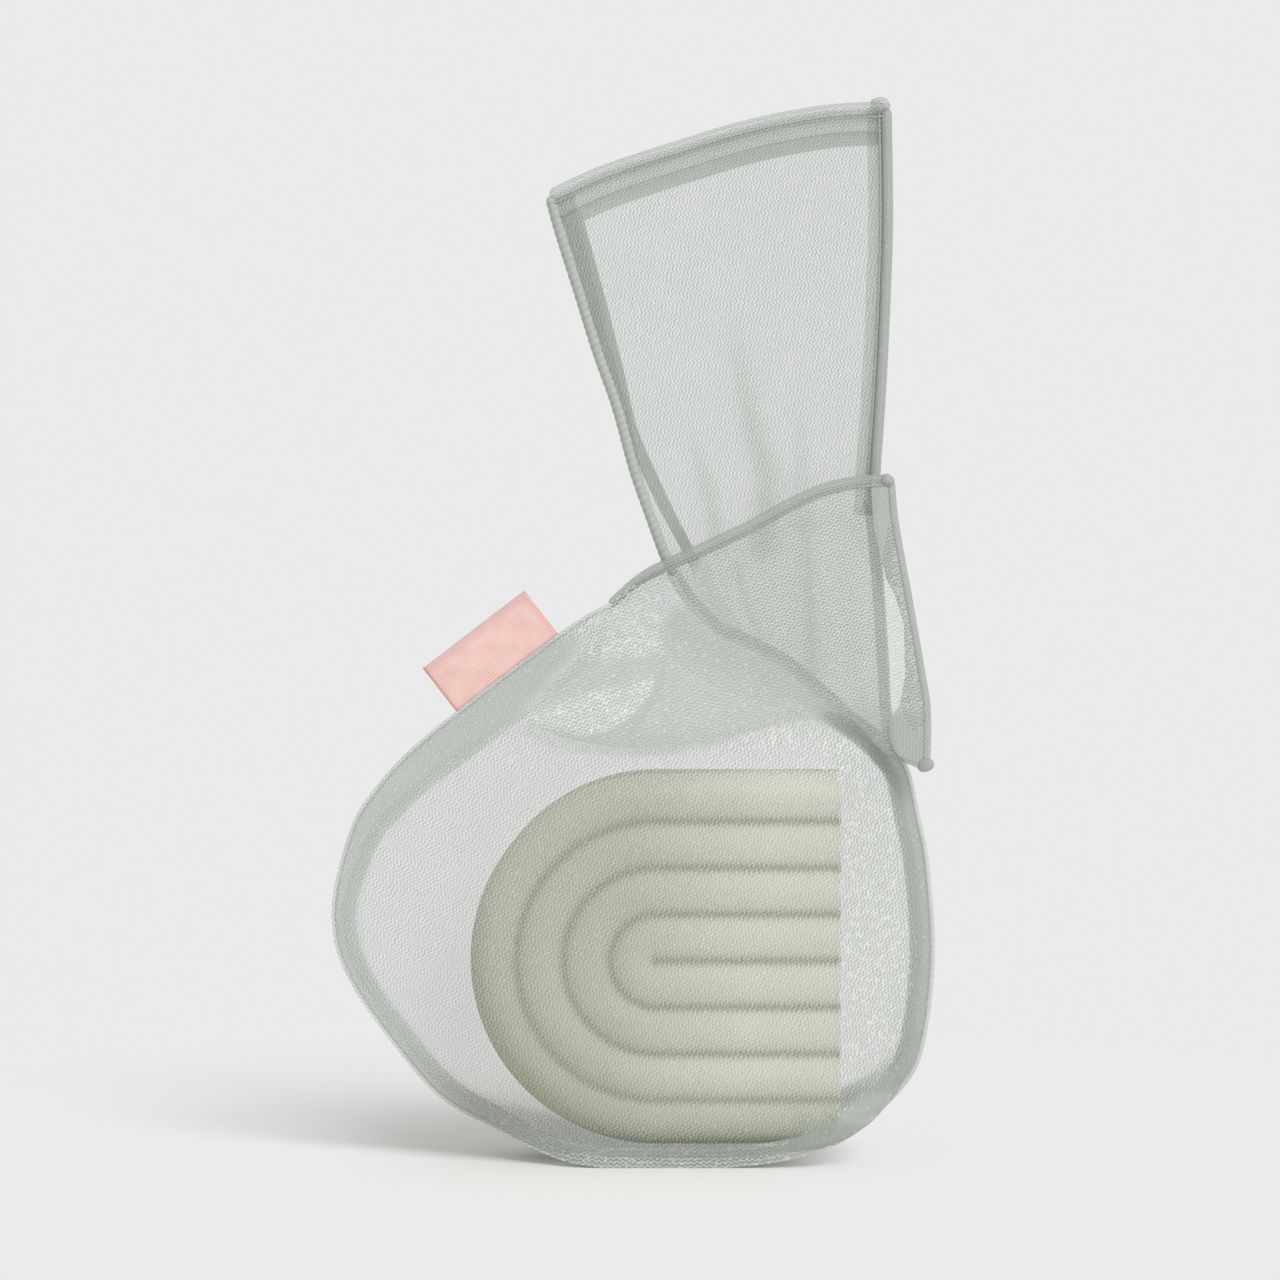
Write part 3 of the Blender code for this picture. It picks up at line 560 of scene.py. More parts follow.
@dataclass(frozen=True)
class SolidWax:
    """Pressed conditioner: satin and cloudy, with painted light to the right, painted shade at its rim low
    down and to the left, and painted shade in its grooves.
    """

    name: str
    pitch: float
    middle: tuple[float, float]
    radius: float
    # The pale colour is painted light to the right, the deep one painted shade at the rim low down and to the
    # left, and the groove colour painted shade in the grooves; the middle colour is the wax's own.
    pale: Colour = from_screen(220, 219, 207)
    body: Colour = from_screen(191, 192, 175)
    deep: Colour = from_screen(164, 165, 140)
    groove: Colour = from_screen(146, 151, 128)
    painted_groove_half: float = 0.95 * MM
    stitch: float = 0.86 * MM
    shift: float = 0.8 * MM
    grooved: float = 3.4
    painted_groove_shade_share: float = 0.28
    clouds: float = 60.0
    grains: float = 1600.0
    painted_light_start_share: float = 0.25
    painted_light_run_share: float = 0.74
    painted_shade_start_share: float = 0.62
    painted_shade_gain: float = 1.1
    painted_shade_left: float = 0.4
    painted_light_low: float = 0.2
    painted_light_clouds: float = 0.6
    painted_groove_line_power: float = 0.8
    painted_groove_line_share: float = 0.8

    def build(self) -> Material:
        """Make the material.

        Returns:
            The new material.
        """
        n = Nodes(self.name)
        coordinates = n.tree.nodes.new("ShaderNodeTexCoord")
        place = coordinates.outputs["Object"]
        along, off, _ = n.parts(n.attribute("grain").outputs["Vector"])
        clouds = n.noise(place, self.clouds, 3.0)
        grains = n.noise(place, self.grains, 2.0)
        facing = n.math("ABSOLUTE", n.parts(coordinates.outputs["Normal"])[1])
        on_face = n.minus(n.times(facing, 4.0), 1.0, clamp=True)
        line = n.times(self.grooves(n, along, off, grains), on_face)
        n.shade({
            "Base Color": n.mix(line, self.tone_with_painted_light_and_shade(n, place, off, clouds), self.groove),
            "Roughness": n.plus(n.times(clouds, 0.2), 0.5),
            "Subsurface Weight": 0.15,
            "Subsurface Radius": (1.0, 1.0, 0.7),
            "Subsurface Scale": 1.2 * MM,
        })
        n.bump(n.plus(grains, clouds), 0.05 * MM, 0.5)
        return n.material

    def tone_with_painted_light_and_shade(self, n: Nodes, place: Socket, off: Socket, clouds: Socket) -> Wire:
        """The bar's colour between its grooves, with painted light to the right and painted shade at its rim
        low down and to the left.

        Args:
            n: The material's nodes.
            place: Where on the bar it is.
            off: How far from the bar's middle line it is.
            clouds: Cloudy values that break up the change.

        Returns:
            The colour's socket.
        """
        x, _, z = n.parts(place)
        left = n.over(n.minus(self.middle[0], x), self.radius)
        low = n.over(n.minus(self.middle[1], z), self.radius)
        # Painted light: paler towards the right, a little more so low down, broken up by the clouds.
        start = self.middle[0] - self.painted_light_start_share * self.radius
        right = n.over(n.minus(x, start), self.painted_light_run_share * self.radius)
        right = n.plus(right, n.times(low, self.painted_light_low))
        right = n.plus(right, n.times(n.minus(clouds, 0.5), self.painted_light_clouds), clamp=True)
        # Painted shade: deeper at the rim, low down and to the left.
        below = n.plus(n.times(n.math("MAXIMUM", left, 0.0), self.painted_shade_left), low)
        rim = n.minus(off, self.painted_shade_start_share * self.radius)
        outer = n.over(rim, (1 - self.painted_shade_start_share) * self.radius, clamp=True)
        shaded = n.times(n.times(below, outer, clamp=True), self.painted_shade_gain, clamp=True)
        return n.mix(shaded, n.mix(right, self.body, self.pale), self.deep)

    def grooves(self, n: Nodes, along: Socket, off: Socket, grains: Socket) -> Wire:
        """How much painted shade lies in the pressed grooves, whose lines zigzag like rope.

        Args:
            n: The material's nodes.
            along: How far along its groove a place is.
            off: How far from the bar's middle line it is.
            grains: Fine values that break up the lines.

        Returns:
            The share's socket.
        """
        wander = n.times(n.zigzag(along, self.stitch), self.shift)
        near = n.math("PINGPONG", n.plus(off, n.minus(wander, self.shift / 2)), self.pitch / 2)
        line = n.math("POWER", n.minus(1.0, n.over(near, self.painted_groove_half), clamp=True), self.painted_groove_line_power)
        line = n.times(line, n.math("LESS_THAN", off, self.grooved * self.pitch))
        line = n.times(line, n.plus(n.times(grains, 0.5), 0.45), clamp=True)
        # A broad painted shade over the whole dent of each groove.
        dent = n.times(n.attribute("plies").outputs["Fac"], self.painted_groove_shade_share)
        return n.plus(n.times(line, self.painted_groove_line_share), dent, clamp=True)


@dataclass(frozen=True)
class SatinTape:
    """Woven pink satin: fine ribs out to its fold, coral selvedges and a mauve painted shade on the fold."""

    name: str
    face: Colour = from_screen(248, 212, 203)
    line: Colour = from_screen(225, 171, 162)
    edge: Colour = from_screen(226, 156, 145)
    # A mauve painted shade on the tape's fold.
    fold: Colour = from_screen(196, 156, 170)
    rib: float = 0.5 * MM
    weft: float = 0.22 * MM
    rib_bends: float = 160.0
    rib_drift: float = 1.6
    rib_slant: float = 120.0
    rib_share: float = 0.5
    clouds: float = 300.0
    cloud_middle: float = 0.4
    cloud_share: float = 0.9
    selvedge: float = 10.1 * MM
    selvedge_gain: float = 0.55 / MM

    def build(self) -> Material:
        """Make the material.

        Returns:
            The new material.
        """
        n = Nodes(self.name)
        grain = n.attribute("grain").outputs["Vector"]
        painted_fold_shade = n.attribute("plies").outputs["Fac"]
        across, out, _ = n.parts(grain)
        bent = n.plus(n.times(across, 1 / self.rib), n.times(n.noise(grain, self.rib_bends), self.rib_drift))
        ribs = n.wave(n.plus(bent, n.times(out, self.rib_slant)))
        weft = n.wave(n.times(out, 1 / self.weft))
        cloudy = n.minus(n.noise(grain, self.clouds, 2.0), self.cloud_middle)
        lines = n.plus(n.times(ribs, self.rib_share), n.times(cloudy, self.cloud_share), clamp=True)
        beside = n.times(n.minus(n.math("ABSOLUTE", across), self.selvedge), self.selvedge_gain, clamp=True)
        colour = n.mix(beside, n.mix(lines, self.face, self.line), self.edge)
        n.shade({
            "Base Color": n.mix(painted_fold_shade, colour, self.fold),
            "Roughness": n.plus(n.times(weft, 0.12), 0.4),
            "Sheen Weight": 0.2,
        })
        n.bump(n.plus(ribs, weft), 0.05 * MM, 0.6)
        return n.material


# The object's measures, shared by its parts


@dataclass(frozen=True)
class BagMeasures:
    """Sizes that several parts of the bag share."""

    bar_left: float = -28.51 * MM
    bar_length: float = 64.4 * MM
    bar_radius: float = 32.5 * MM
    bar_lift: float = 3.8 * MM
    bar_thickness: float = 24.0 * MM
    bar_corner: float = 1.2 * MM
    bar_low_corner: float = 5.0 * MM
    bar_pitch: float = 8.15 * MM
    clearance: float = 0.5 * MM
    foot_half_depth: float = 11.6 * MM
    foot: Climb = Climb(5, 6)
    hinge_half: float = 2.5 * MM

    @property
    def bar_right(self) -> float:
        """Where the bar's flat end is in X."""
        return self.bar_left + self.bar_length

    @property
    def bar_centre(self) -> Points:
        """The middle of the bar's round end in X and Z."""
        return np.array([self.bar_left + self.bar_radius, self.bar_lift + self.bar_radius])


class Finish(Enum):
    """The finishes of the bag, each with the slot of the record that it stands for."""

    BODY = ("body mesh", "mesh_cloth")
    TIE = ("tie mesh", "mesh_cloth")
    THREAD = ("edge thread", "overlock_thread")
    FRINGE = ("pale edge thread", "overlock_thread")
    HEM = ("rolled mesh", "overlock_thread")
    STITCH = ("stitch thread", "overlock_thread")
    WAX = ("wax", "wax_bar")
    SATIN = ("satin", "label_satin")

    @property
    def slot(self) -> str:
        """The material slot of the record."""
        return self.value[1]


class Wardrobe:
    """Every finish, built once and handed to the pieces."""

    def __init__(self, measures: BagMeasures) -> None:
        """Build the materials.

        Args:
            measures: The bag's sizes, for the wax.
        """
        # Each thread has a darker colour, which also paints shade in the dips of its ribs, and a lighter one,
        # which also paints light on their tops.
        pale = {"dark_thread_and_painted_hollow_shade": from_screen(181, 188, 180), "light_thread_and_painted_crest_light": from_screen(208, 213, 207)}
        dark = {"dark_thread_and_painted_hollow_shade": from_screen(150, 160, 150), "light_thread_and_painted_crest_light": from_screen(178, 186, 177)}
        rolled = MeshCloth("sage_rolled_mesh", course=0.6 * MM, zigzag=0.9 * MM, thick=0.4, mean=0.26,
                           painted_sparkle_level=0.66, stack=from_screen(174, 181, 173))
        middle = tuple(float(v) for v in measures.bar_centre)
        self.made = {
            Finish.BODY: MeshCloth("sage_mesh_body", thin=0.03, thick=0.28).build(),
            Finish.TIE: MeshCloth("sage_mesh_tie", course=0.66 * MM, zigzag=1.0 * MM).build(),
            Finish.HEM: rolled.build(),
            Finish.THREAD: OverlockThread("sage_overlock").build(),
            Finish.FRINGE: OverlockThread("sage_fringe", **pale).build(),
            Finish.STITCH: OverlockThread("sage_stitch", **dark).build(),
            Finish.WAX: SolidWax("pale_sage_wax", measures.bar_pitch, middle, measures.bar_radius).build(),
            Finish.SATIN: SatinTape("pink_satin").build(),
        }

    def dress(self, piece: Piece, finish: Finish) -> Piece:
        """Give a piece one finish.

        Args:
            piece: The piece to dress.
            finish: Its finish.

        Returns:
            The same piece.
        """
        piece.data.materials.clear()
        piece.data.materials.append(self.made[finish])
        return piece


# Meshes


def mesh_piece(name: str, points: Points, faces: Sequence, plies: Points, grain: Points) -> Piece:
    """A smooth mesh object with its plies and its grain kept on its points.

    Args:
        name: The piece's name.
        points: The points, in metres.
        faces: The faces as tuples of point numbers.
        plies: How many plies thick the cloth is at each point. On a roll it is how high in a rib the point
            lies, which paints shade in the dips and light on the tops of the ribs; on the bar it is how deep
            in a groove the point lies, which paints shade there; and on the tape it is how much painted shade
            lies on its fold.
        grain: The run of the cloth at each point, two numbers in metres, and a third from -1 mm where
            its mesh is blurred to 1 mm where it is bold, which also makes its painted highlights stronger.

    Returns:
        The new object.
    """
    mesh = bpy.data.meshes.new(name)
    mesh.from_pydata([tuple(p) for p in points], [], faces)
    mesh.validate()
    mesh.shade_smooth()
    mesh.attributes.new("plies", "FLOAT", "POINT").data.foreach_set("value", plies.astype(np.float32).ravel())
    run = np.zeros((len(points), 3), np.float32)
    run[:, :grain.shape[-1]] = grain.reshape(-1, grain.shape[-1])
    mesh.attributes.new("grain", "FLOAT_VECTOR", "POINT").data.foreach_set("vector", run.ravel())
    piece = bpy.data.objects.new(name, mesh)
    bpy.context.scene.collection.objects.link(piece)
    return piece


def grid_faces(rows: int, columns: int, start: int = 0, closed: bool = False, flip: bool = False) -> list:
    """The four-sided faces of a grid of points.

    Args:
        rows: How many rows of points.
        columns: How many points to a row.
        start: The number of the first point.
        closed: Whether each row's last point joins its first.
        flip: Whether the faces look the other way.

    Returns:
        The faces as tuples of point numbers.
    """
    faces = []
    for r in range(rows - 1):
        for c in range(columns if closed else columns - 1):
            a, b = start + r * columns + c, start + r * columns + (c + 1) % columns
            quad = (a, b, b + columns, a + columns)
            faces.append(quad[::-1] if flip else quad)
    return faces


def grid_piece(name: str, grid: Points, plies: Points, grain: Points) -> Piece:
    """A thin cloth surface from a grid of points, with its plies and grain."""
    rows, columns = grid.shape[:2]
    return mesh_piece(name, grid.reshape(-1, 3), grid_faces(rows, columns), plies.reshape(-1), grain)


@dataclass(frozen=True)
class ClothBand:
    """A narrow band of several plies that follows a line, such as a seam allowance."""

    route: Points
    width: Length
    plies: Length
    depth: Length = 0.0
    side: int = 1
    across: int = 8
    fade: float = 0.0
    soft: float = 0.0
    bold: Length = 0.0

    def build(self, name: str) -> Piece:
        """Make the band.

        Args:
            name: The piece's name.

        Returns:
            The new object.
        """
        normals = left_normals(self.route) * self.side
        share = np.linspace(0, 1, self.across + 1)
        wide = np.broadcast_to(np.asarray(self.width, float), len(self.route))
        deep = np.broadcast_to(np.asarray(self.depth, float), len(self.route))
        flat = self.route[None] + normals[None] * (share[:, None] * wide[None])[:, :, None]
        grid = np.stack([flat[..., 0], np.broadcast_to(deep, flat.shape[:2]), flat[..., 1]], axis=2)
        reach = reach_along(self.route)
        plies = np.broadcast_to(np.asarray(self.plies, float), flat.shape[:2]).copy()
        if self.fade:
            plies *= smooth_step(reach / self.fade) * smooth_step((reach[-1] - reach) / self.fade)
        if self.soft:
            plies *= (1 - self.soft * share)[:, None]
        bold = np.broadcast_to(np.asarray(self.bold, float) * MM, len(reach))
        grain = np.stack(np.broadcast_arrays(reach[None], share[:, None] * wide[None], bold[None]), axis=2)
        return grid_piece(name, grid, plies, grain)


@dataclass(frozen=True)
class ThreadRoll:
    """An overlocked or rolled edge: ribs that wind round a soft core, with rounded ends."""

    route: Points
    radius: float
    rib: float = 1.3 * MM
    relief: float = 0.14
    rib_power: float = 0.7
    flatness: float = 1.0
    slant: float = 0.5
    sides: int = 14
    step: float = 0.2 * MM
    grows: float = 0.0
    plies: float = 0.0
    thin_share: float = 0.5
    tip_share: float = 0.02

    def build(self, name: str) -> Piece:
        """Make the roll.

        Args:
            name: The piece's name.

        Returns:
            The new object.
        """
        count = max(int(reach_along(self.route)[-1] / self.step), 6)
        line = smooth_line(self.route, count)
        reach = reach_along(line)
        run = np.gradient(line, axis=0)
        run /= np.linalg.norm(run, axis=1)[:, None]
        side = np.cross(run, (0.0, 1.0, 0.0))
        side /= np.linalg.norm(side, axis=1)[:, None]
        over = np.cross(side, run)
        turn = np.linspace(0, math.tau, self.sides, endpoint=False)
        winding = reach[:, None] / self.rib + self.slant * turn / math.tau
        ribs = np.abs(np.sin(math.pi * winding)) ** self.rib_power
        end = np.clip(np.minimum(reach, reach[-1] - reach) / self.radius, self.tip_share, 1)
        taper = np.sqrt(np.clip(1 - (1 - end) ** 2, 0, 1))[:, None]
        if self.grows:
            grown = smooth_step(reach / self.grows)
            taper = taper * (self.thin_share + (1 - self.thin_share) * grown)[:, None]
        size = self.radius * taper * (1 - self.relief + self.relief * ribs)
        points = (line[:, None] + side[:, None] * (size * np.cos(turn))[:, :, None]
                  + over[:, None] * (size * self.flatness * np.sin(turn))[:, :, None])
        rows = len(line)
        faces = grid_faces(rows, self.sides, closed=True)
        faces.append(tuple(range(self.sides)))
        faces.append(tuple(reversed(range((rows - 1) * self.sides, rows * self.sides))))
        around = np.broadcast_to(turn * self.radius, ribs.shape)
        grain = np.stack([np.broadcast_to(reach[:, None], ribs.shape), around], axis=2)
        # Without a ply count each point keeps its rib height, which the thread finish turns into painted
        # shade in the dips and painted light on the tops.
        thick = np.full(ribs.size, self.plies) if self.plies else ribs.reshape(-1)
        return mesh_piece(name, points.reshape(-1, 3), faces, thick, grain)


@dataclass(frozen=True)
class Fold:
    """A line or an area, in millimetres, where a cloth lies thicker or thinner than round about."""

    points: Outline
    plies: float
    width: float = 0.0
    soft: float = 0.4
    rise: float = 0.0
    fade: float = 0.0

    def weight(self, places: Points) -> Points:
        """How strongly the fold acts at some places, from 0 to 1.

        Args:
            places: The places in X and Z.

        Returns:
            A weight for each place.
        """
        line = in_mm(self.points)
        if self.width:
            gap = nearest_on(smooth_line(line, 40), places)[1]
            below = smooth_step((line[0, 1] - places[:, 1]) / (self.fade * MM)) if self.fade else 1.0
            return np.exp(-((gap / (self.width * MM)) ** 2)) * below
        gap = nearest_on(line, places, closed=True)[1] / (self.soft * MM)
        return np.where(inside(line, places), smooth_step(0.5 + gap / 2), smooth_step(0.5 - gap / 2))


# The pouch and its bar


LEFT_SIDE = [
    (-4.9, 0.0), (-13.9, 1.3), (-22.1, 4.4), (-29.8, 7.8), (-35.4, 11.8), (-41.2, 18.6), (-47.8, 27.7),
    (-51.6, 35.0), (-52.9, 41.8), (-52.3, 48.6), (-49.7, 57.9), (-46.9, 63.1), (-40.6, 70.6), (-31.2, 78.6),
    (-13.2, 92.4), (-4.5, 97.8),
]
FOOT_SIDE = [(-4.9, 0.0), (15.0, 0.0)]
RIGHT_SIDE = [
    (15.0, 0.0), (20.5, 0.4), (25.8, 1.2), (31.8, 2.6), (37.5, 5.1), (41.9, 7.8), (46.0, 11.0), (49.4, 15.6),
    (51.0, 20.9), (52.1, 28.1), (52.6, 38.0), (51.9, 48.3), (51.1, 54.9), (49.8, 60.8), (48.1, 68.3),
    (45.1, 72.9), (40.8, 76.9), (35.6, 80.0),
]
MOUTH = [
    (35.6, 80.0), (32.0, 82.6), (25.8, 87.5), (18.6, 91.4), (14.4, 93.6), (9.6, 98.2), (6.0, 103.2),
    (0.8, 101.4), (-4.5, 97.8),
]
CROSSING_LOW_SIDE = [
    (-20.0, 77.9), (-14.8, 76.0), (-9.4, 74.4), (-1.4, 73.6), (5.4, 73.6), (13.0, 74.8), (21.0, 77.4),
    (28.6, 79.0), (34.6, 79.2), (38.5, 77.4), (43.8, 72.4), (50.2, 69.6),
]


@dataclass(frozen=True)
class ConditionerBar:
    """The arch-shaped bar, pressed with grooves that run round its arch."""

    bag: BagMeasures
    wardrobe: Wardrobe
    dip: float = 0.28 * MM
    half_width: float = 1.3 * MM
    crown: float = 0.35 * MM
    edge_round: float = 4.0 * MM
    draft: float = 1.2 * MM
    grooved: float = 3.4
    arch_points: int = 57
    straight_points: int = 25
    face_lines: int = 150
    rim_lines: int = 13
    weld: float = 0.005 * MM
    sharp_degrees: float = 48.0

    def end(self, offset: float, corner: float) -> float:
        """Where a line round the bar ends in X.

        Args:
            offset: How far the line is from the bar's middle.
            corner: The radius of the bar's corner on that side.

        Returns:
            The end's place.
        """
        past = max(offset - (self.bag.bar_radius - corner), 0.0)
        return self.bag.bar_right - corner + math.sqrt(max(corner**2 - past**2, 0.0))

    def line(self, offset: float) -> Points:
        """A U-shaped line round the bar, from its upper end to its lower one.

        Args:
            offset: How far the line is from the bar's middle.

        Returns:
            The line's points in X and Z.
        """
        cx, cz = self.bag.bar_centre
        high_end, low_end = self.end(offset, self.bag.bar_corner), self.end(offset, self.bag.bar_low_corner)
        turn = np.linspace(math.pi / 2, 3 * math.pi / 2, self.arch_points)
        arc = np.stack([cx + offset * np.cos(turn), cz + offset * np.sin(turn)], axis=1)
        run = np.linspace(0, 1, self.straight_points)[:-1, None]
        top = np.array([high_end, cz + offset]) * (1 - run) + arc[0] * run
        low = (arc[-1] * (1 - run) + np.array([low_end, cz - offset]) * run)[1:]
        return np.vstack([top, arc, low, [[low_end, cz - offset]]])

    def profile(self) -> tuple[Points, Points, Points]:
        """The bar's section, from its middle line out to its rim.

        Returns:
            Offsets from the middle, the depth at each, and how deep in a groove each is.
        """
        half, pitch = self.bag.bar_thickness / 2, self.bag.bar_pitch
        flat = self.bag.bar_radius - self.edge_round
        rounding = self.edge_round * np.sin(np.linspace(0, math.pi / 2, self.rim_lines)[1:-1])
        offsets = np.r_[np.linspace(0, flat, self.face_lines), flat + rounding]
        from_groove = np.abs((offsets + pitch / 2) % pitch - pitch / 2)
        in_reach = offsets < self.grooved * pitch
        dent = np.exp(-((from_groove / self.half_width) ** 2)) * in_reach
        crown = self.crown * (1 - np.cos(math.tau * offsets / pitch)) / 2 * in_reach
        beyond = np.maximum(self.edge_round**2 - (offsets - flat) ** 2, 0)
        round_off = np.where(offsets > flat, self.edge_round - np.sqrt(beyond), 0)
        depth = half - self.crown * in_reach - self.dip * dent + crown - round_off
        return offsets, depth, dent

    def grain(self, line: Points, offset: float) -> Points:
        """How far along the nearest groove each point of a line is, and the line's offset.

        Args:
            line: The line's points in X and Z.
            offset: How far the line is from the bar's middle.

        Returns:
            Two lengths for each point.
        """
        cx = self.bag.bar_centre[0]
        away = line - self.bag.bar_centre
        in_top_half = np.arange(len(line)) < len(line) // 2
        round_arch = np.arctan2(-away[:, 0], away[:, 1]) % math.tau
        turn = np.where(line[:, 0] < cx - 1e-9, round_arch, np.where(in_top_half, 0, math.pi))
        nearest = round(offset / self.bag.bar_pitch) * self.bag.bar_pitch
        straight = np.maximum(away[:, 0], 0) * np.where(in_top_half, -1, 1)
        return np.stack([straight + turn * nearest, np.full(len(line), offset)], axis=1)

    def faces(self, rows: int, columns: int) -> list:
        """The faces of the bar's front, its back and the rim between them.

        Args:
            rows: How many lines run round each side.
            columns: How many points each line has.

        Returns:
            The faces as tuples of point numbers.
        """
        total = rows * columns
        faces = grid_faces(rows, columns) + grid_faces(rows, columns, start=total, flip=True)
        for r in range(rows - 1):
            for c, turned in ((0, False), (columns - 1, True)):
                a = r * columns + c
                quad = (a, a + columns, total + a + columns, total + a)
                faces.append(quad[::-1] if turned else quad)
        for c in range(total - columns, total - 1):
            faces.append((c, c + 1, total + c + 1, total + c))
        return faces

    def build(self) -> None:
        """Make the bar and place it in the pouch."""
        offsets, depth, dent = self.profile()
        half, radius = self.bag.bar_thickness / 2, self.bag.bar_radius
        lines = [self.line(o) for o in offsets]
        rows, columns = len(lines), len(lines[0])
        front = np.stack([lift(line, -d) for line, d in zip(lines, depth)])
        behind = np.where(offsets <= radius - self.edge_round, half, depth)
        back = np.stack([lift(self.line(o * (1 - self.draft / radius)), d) for o, d in zip(offsets, behind)])
        points = np.vstack([front.reshape(-1, 3), back.reshape(-1, 3)])
        grain = np.stack([self.grain(line, o) for line, o in zip(lines, offsets)])
        # Each front point keeps how deep in a groove it lies, which the wax finish turns into painted shade.
        plies = np.r_[np.repeat(dent, columns), np.zeros(rows * columns)]
        grain = np.concatenate([grain, grain])
        piece = mesh_piece("wax_bar", points, self.faces(rows, columns), plies, grain)
        joined = bmesh.new()
        joined.from_mesh(piece.data)
        bmesh.ops.remove_doubles(joined, verts=joined.verts, dist=self.weld)
        joined.to_mesh(piece.data)
        joined.free()
        piece.data.set_sharp_from_angle(angle=math.radians(self.sharp_degrees))
        self.wardrobe.dress(piece, Finish.WAX)
        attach(piece, "pouch")
        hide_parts("conditioner_bar")
        log.info("made %s", piece.name)


@dataclass(frozen=True)
class SeamAllowances:
    """The folded edges of the cloth beside the seams, which show through it as darker bands."""

    bag: BagMeasures
    wide: float = 4.3 * MM
    wider_high: float = 3.9 * MM
    narrower_low: float = 0.6 * MM
    left_half: Climb = Climb(-18, 26)
    high: Climb = Climb(40, 42)
    low: Climb = Climb(2, 12)
    corner_side: Climb = Climb(22, 10)
    corner_height: Climb = Climb(14, 14)
    blurred: Climb = Climb(34, 14)
    side_plies: float = 0.8
    high_plies: float = 0.3
    low_plies: float = 3.6
    corner_plies: float = 3.0
    right_plies: float = 2.2
    low_bold: float = 0.6
    left_blur: float = 0.65
    end_fade: float = 5 * MM
    before_foot: float = 0.3 * MM
    hem_behind: float = 0.3 * MM
    left_hem_inset: float = 1.7 * MM
    left_hem_wide: float = 2.5 * MM
    left_hem_plies: float = 1.1
    left_hem_fade: float = 16 * MM
    left_hem_first: int = 24
    left_hem_end: int = -44
    right_hem_inset: float = 2.4 * MM
    right_hem_wide: float = 2.1 * MM
    right_hem_plies: float = 4.4
    right_hem_fade: float = 14 * MM
    right_hem_start: int = 55
    tail_wide: float = 2.6 * MM
    tail_plies: float = 2.4
    tail_depths: tuple[float, float] = (-0.3 * MM, -3.6 * MM)
    tail: Outline = (
        (48.4, 64.0), (46.2, 68.4), (43.0, 72.2), (39.6, 75.6), (35.6, 78.6), (31.6, 81.0),
    )

    def round_pouch(self, outline: Points, bar_rim: Points) -> ClothBand:
        """The band that follows the whole seam, pressed flat under the bar's foot.

        Args:
            outline: The seam's line in X and Z.
            bar_rim: The bar's outline in X and Z.

        Returns:
            The band.
        """
        route = smooth_line(outline[::2], 700)
        x, z = route[:, 0], route[:, 1]
        on_left, low = self.left_half.before(x), self.low.before(z)
        high = self.high.at(z) * on_left
        wide = self.wide + self.wider_high * high - self.narrower_low * low
        pressed = self.bag.foot.before(nearest_on(bar_rim, route, closed=True)[1])
        depth = -(self.bag.foot_half_depth + self.before_foot) * pressed * low
        corner = self.corner_side.at(x) * self.corner_height.before(z)
        plies = self.side_plies + self.high_plies * high + self.low_plies * low
        plies += self.corner_plies * corner + self.right_plies * (x > 0) * (1 - low)
        bold = self.low_bold * low * (1 - corner) - self.left_blur * on_left * self.blurred.at(z)
        return ClothBand(route, wide, plies, depth=depth, fade=self.end_fade, bold=bold)

    def left_hem(self) -> ClothBand:
        """The dark folded hem along the inner side of the left seam.

        Returns:
            The band.
        """
        left = smooth_line(in_mm(LEFT_SIDE), 260)
        inset = self.left_hem_inset + self.wider_high * self.high.at(left[:, 1])
        route = (left - left_normals(left) * inset[:, None])[self.left_hem_first:self.left_hem_end]
        return ClothBand(route, self.left_hem_wide, self.left_hem_plies, depth=-self.hem_behind, side=-1,
                         fade=self.left_hem_fade, soft=0.2)

    def right_hem(self) -> ClothBand:
        """The dark folded hem along the inner side of the right seam.

        Returns:
            The band.
        """
        right = smooth_line(in_mm(RIGHT_SIDE), 200)
        route = (right + left_normals(right) * self.right_hem_inset)[self.right_hem_start:]
        return ClothBand(route, self.right_hem_wide, self.right_hem_plies, depth=-self.hem_behind,
                         fade=self.right_hem_fade)

    def right_at_knot(self) -> ClothBand:
        """The right seam's dark end, where it runs forward into the knot.

        Returns:
            The band.
        """
        route = smooth_line(in_mm(self.tail), 60)
        depth = np.linspace(*self.tail_depths, len(route))
        return ClothBand(route, self.tail_wide, self.tail_plies, depth=depth, fade=self.end_fade)

    def build(self, outline: Points, bar_rim: Points) -> list[Piece]:
        """Make the bands.

        Args:
            outline: The seam's line in X and Z.
            bar_rim: The bar's outline in X and Z.

        Returns:
            The new objects.
        """
        return [
            self.round_pouch(outline, bar_rim).build("seam_allowance"),
            self.left_hem().build("left_allowance_hem"),
            self.right_hem().build("right_allowance_hem"),
            self.right_at_knot().build("right_seam_at_knot"),
        ]


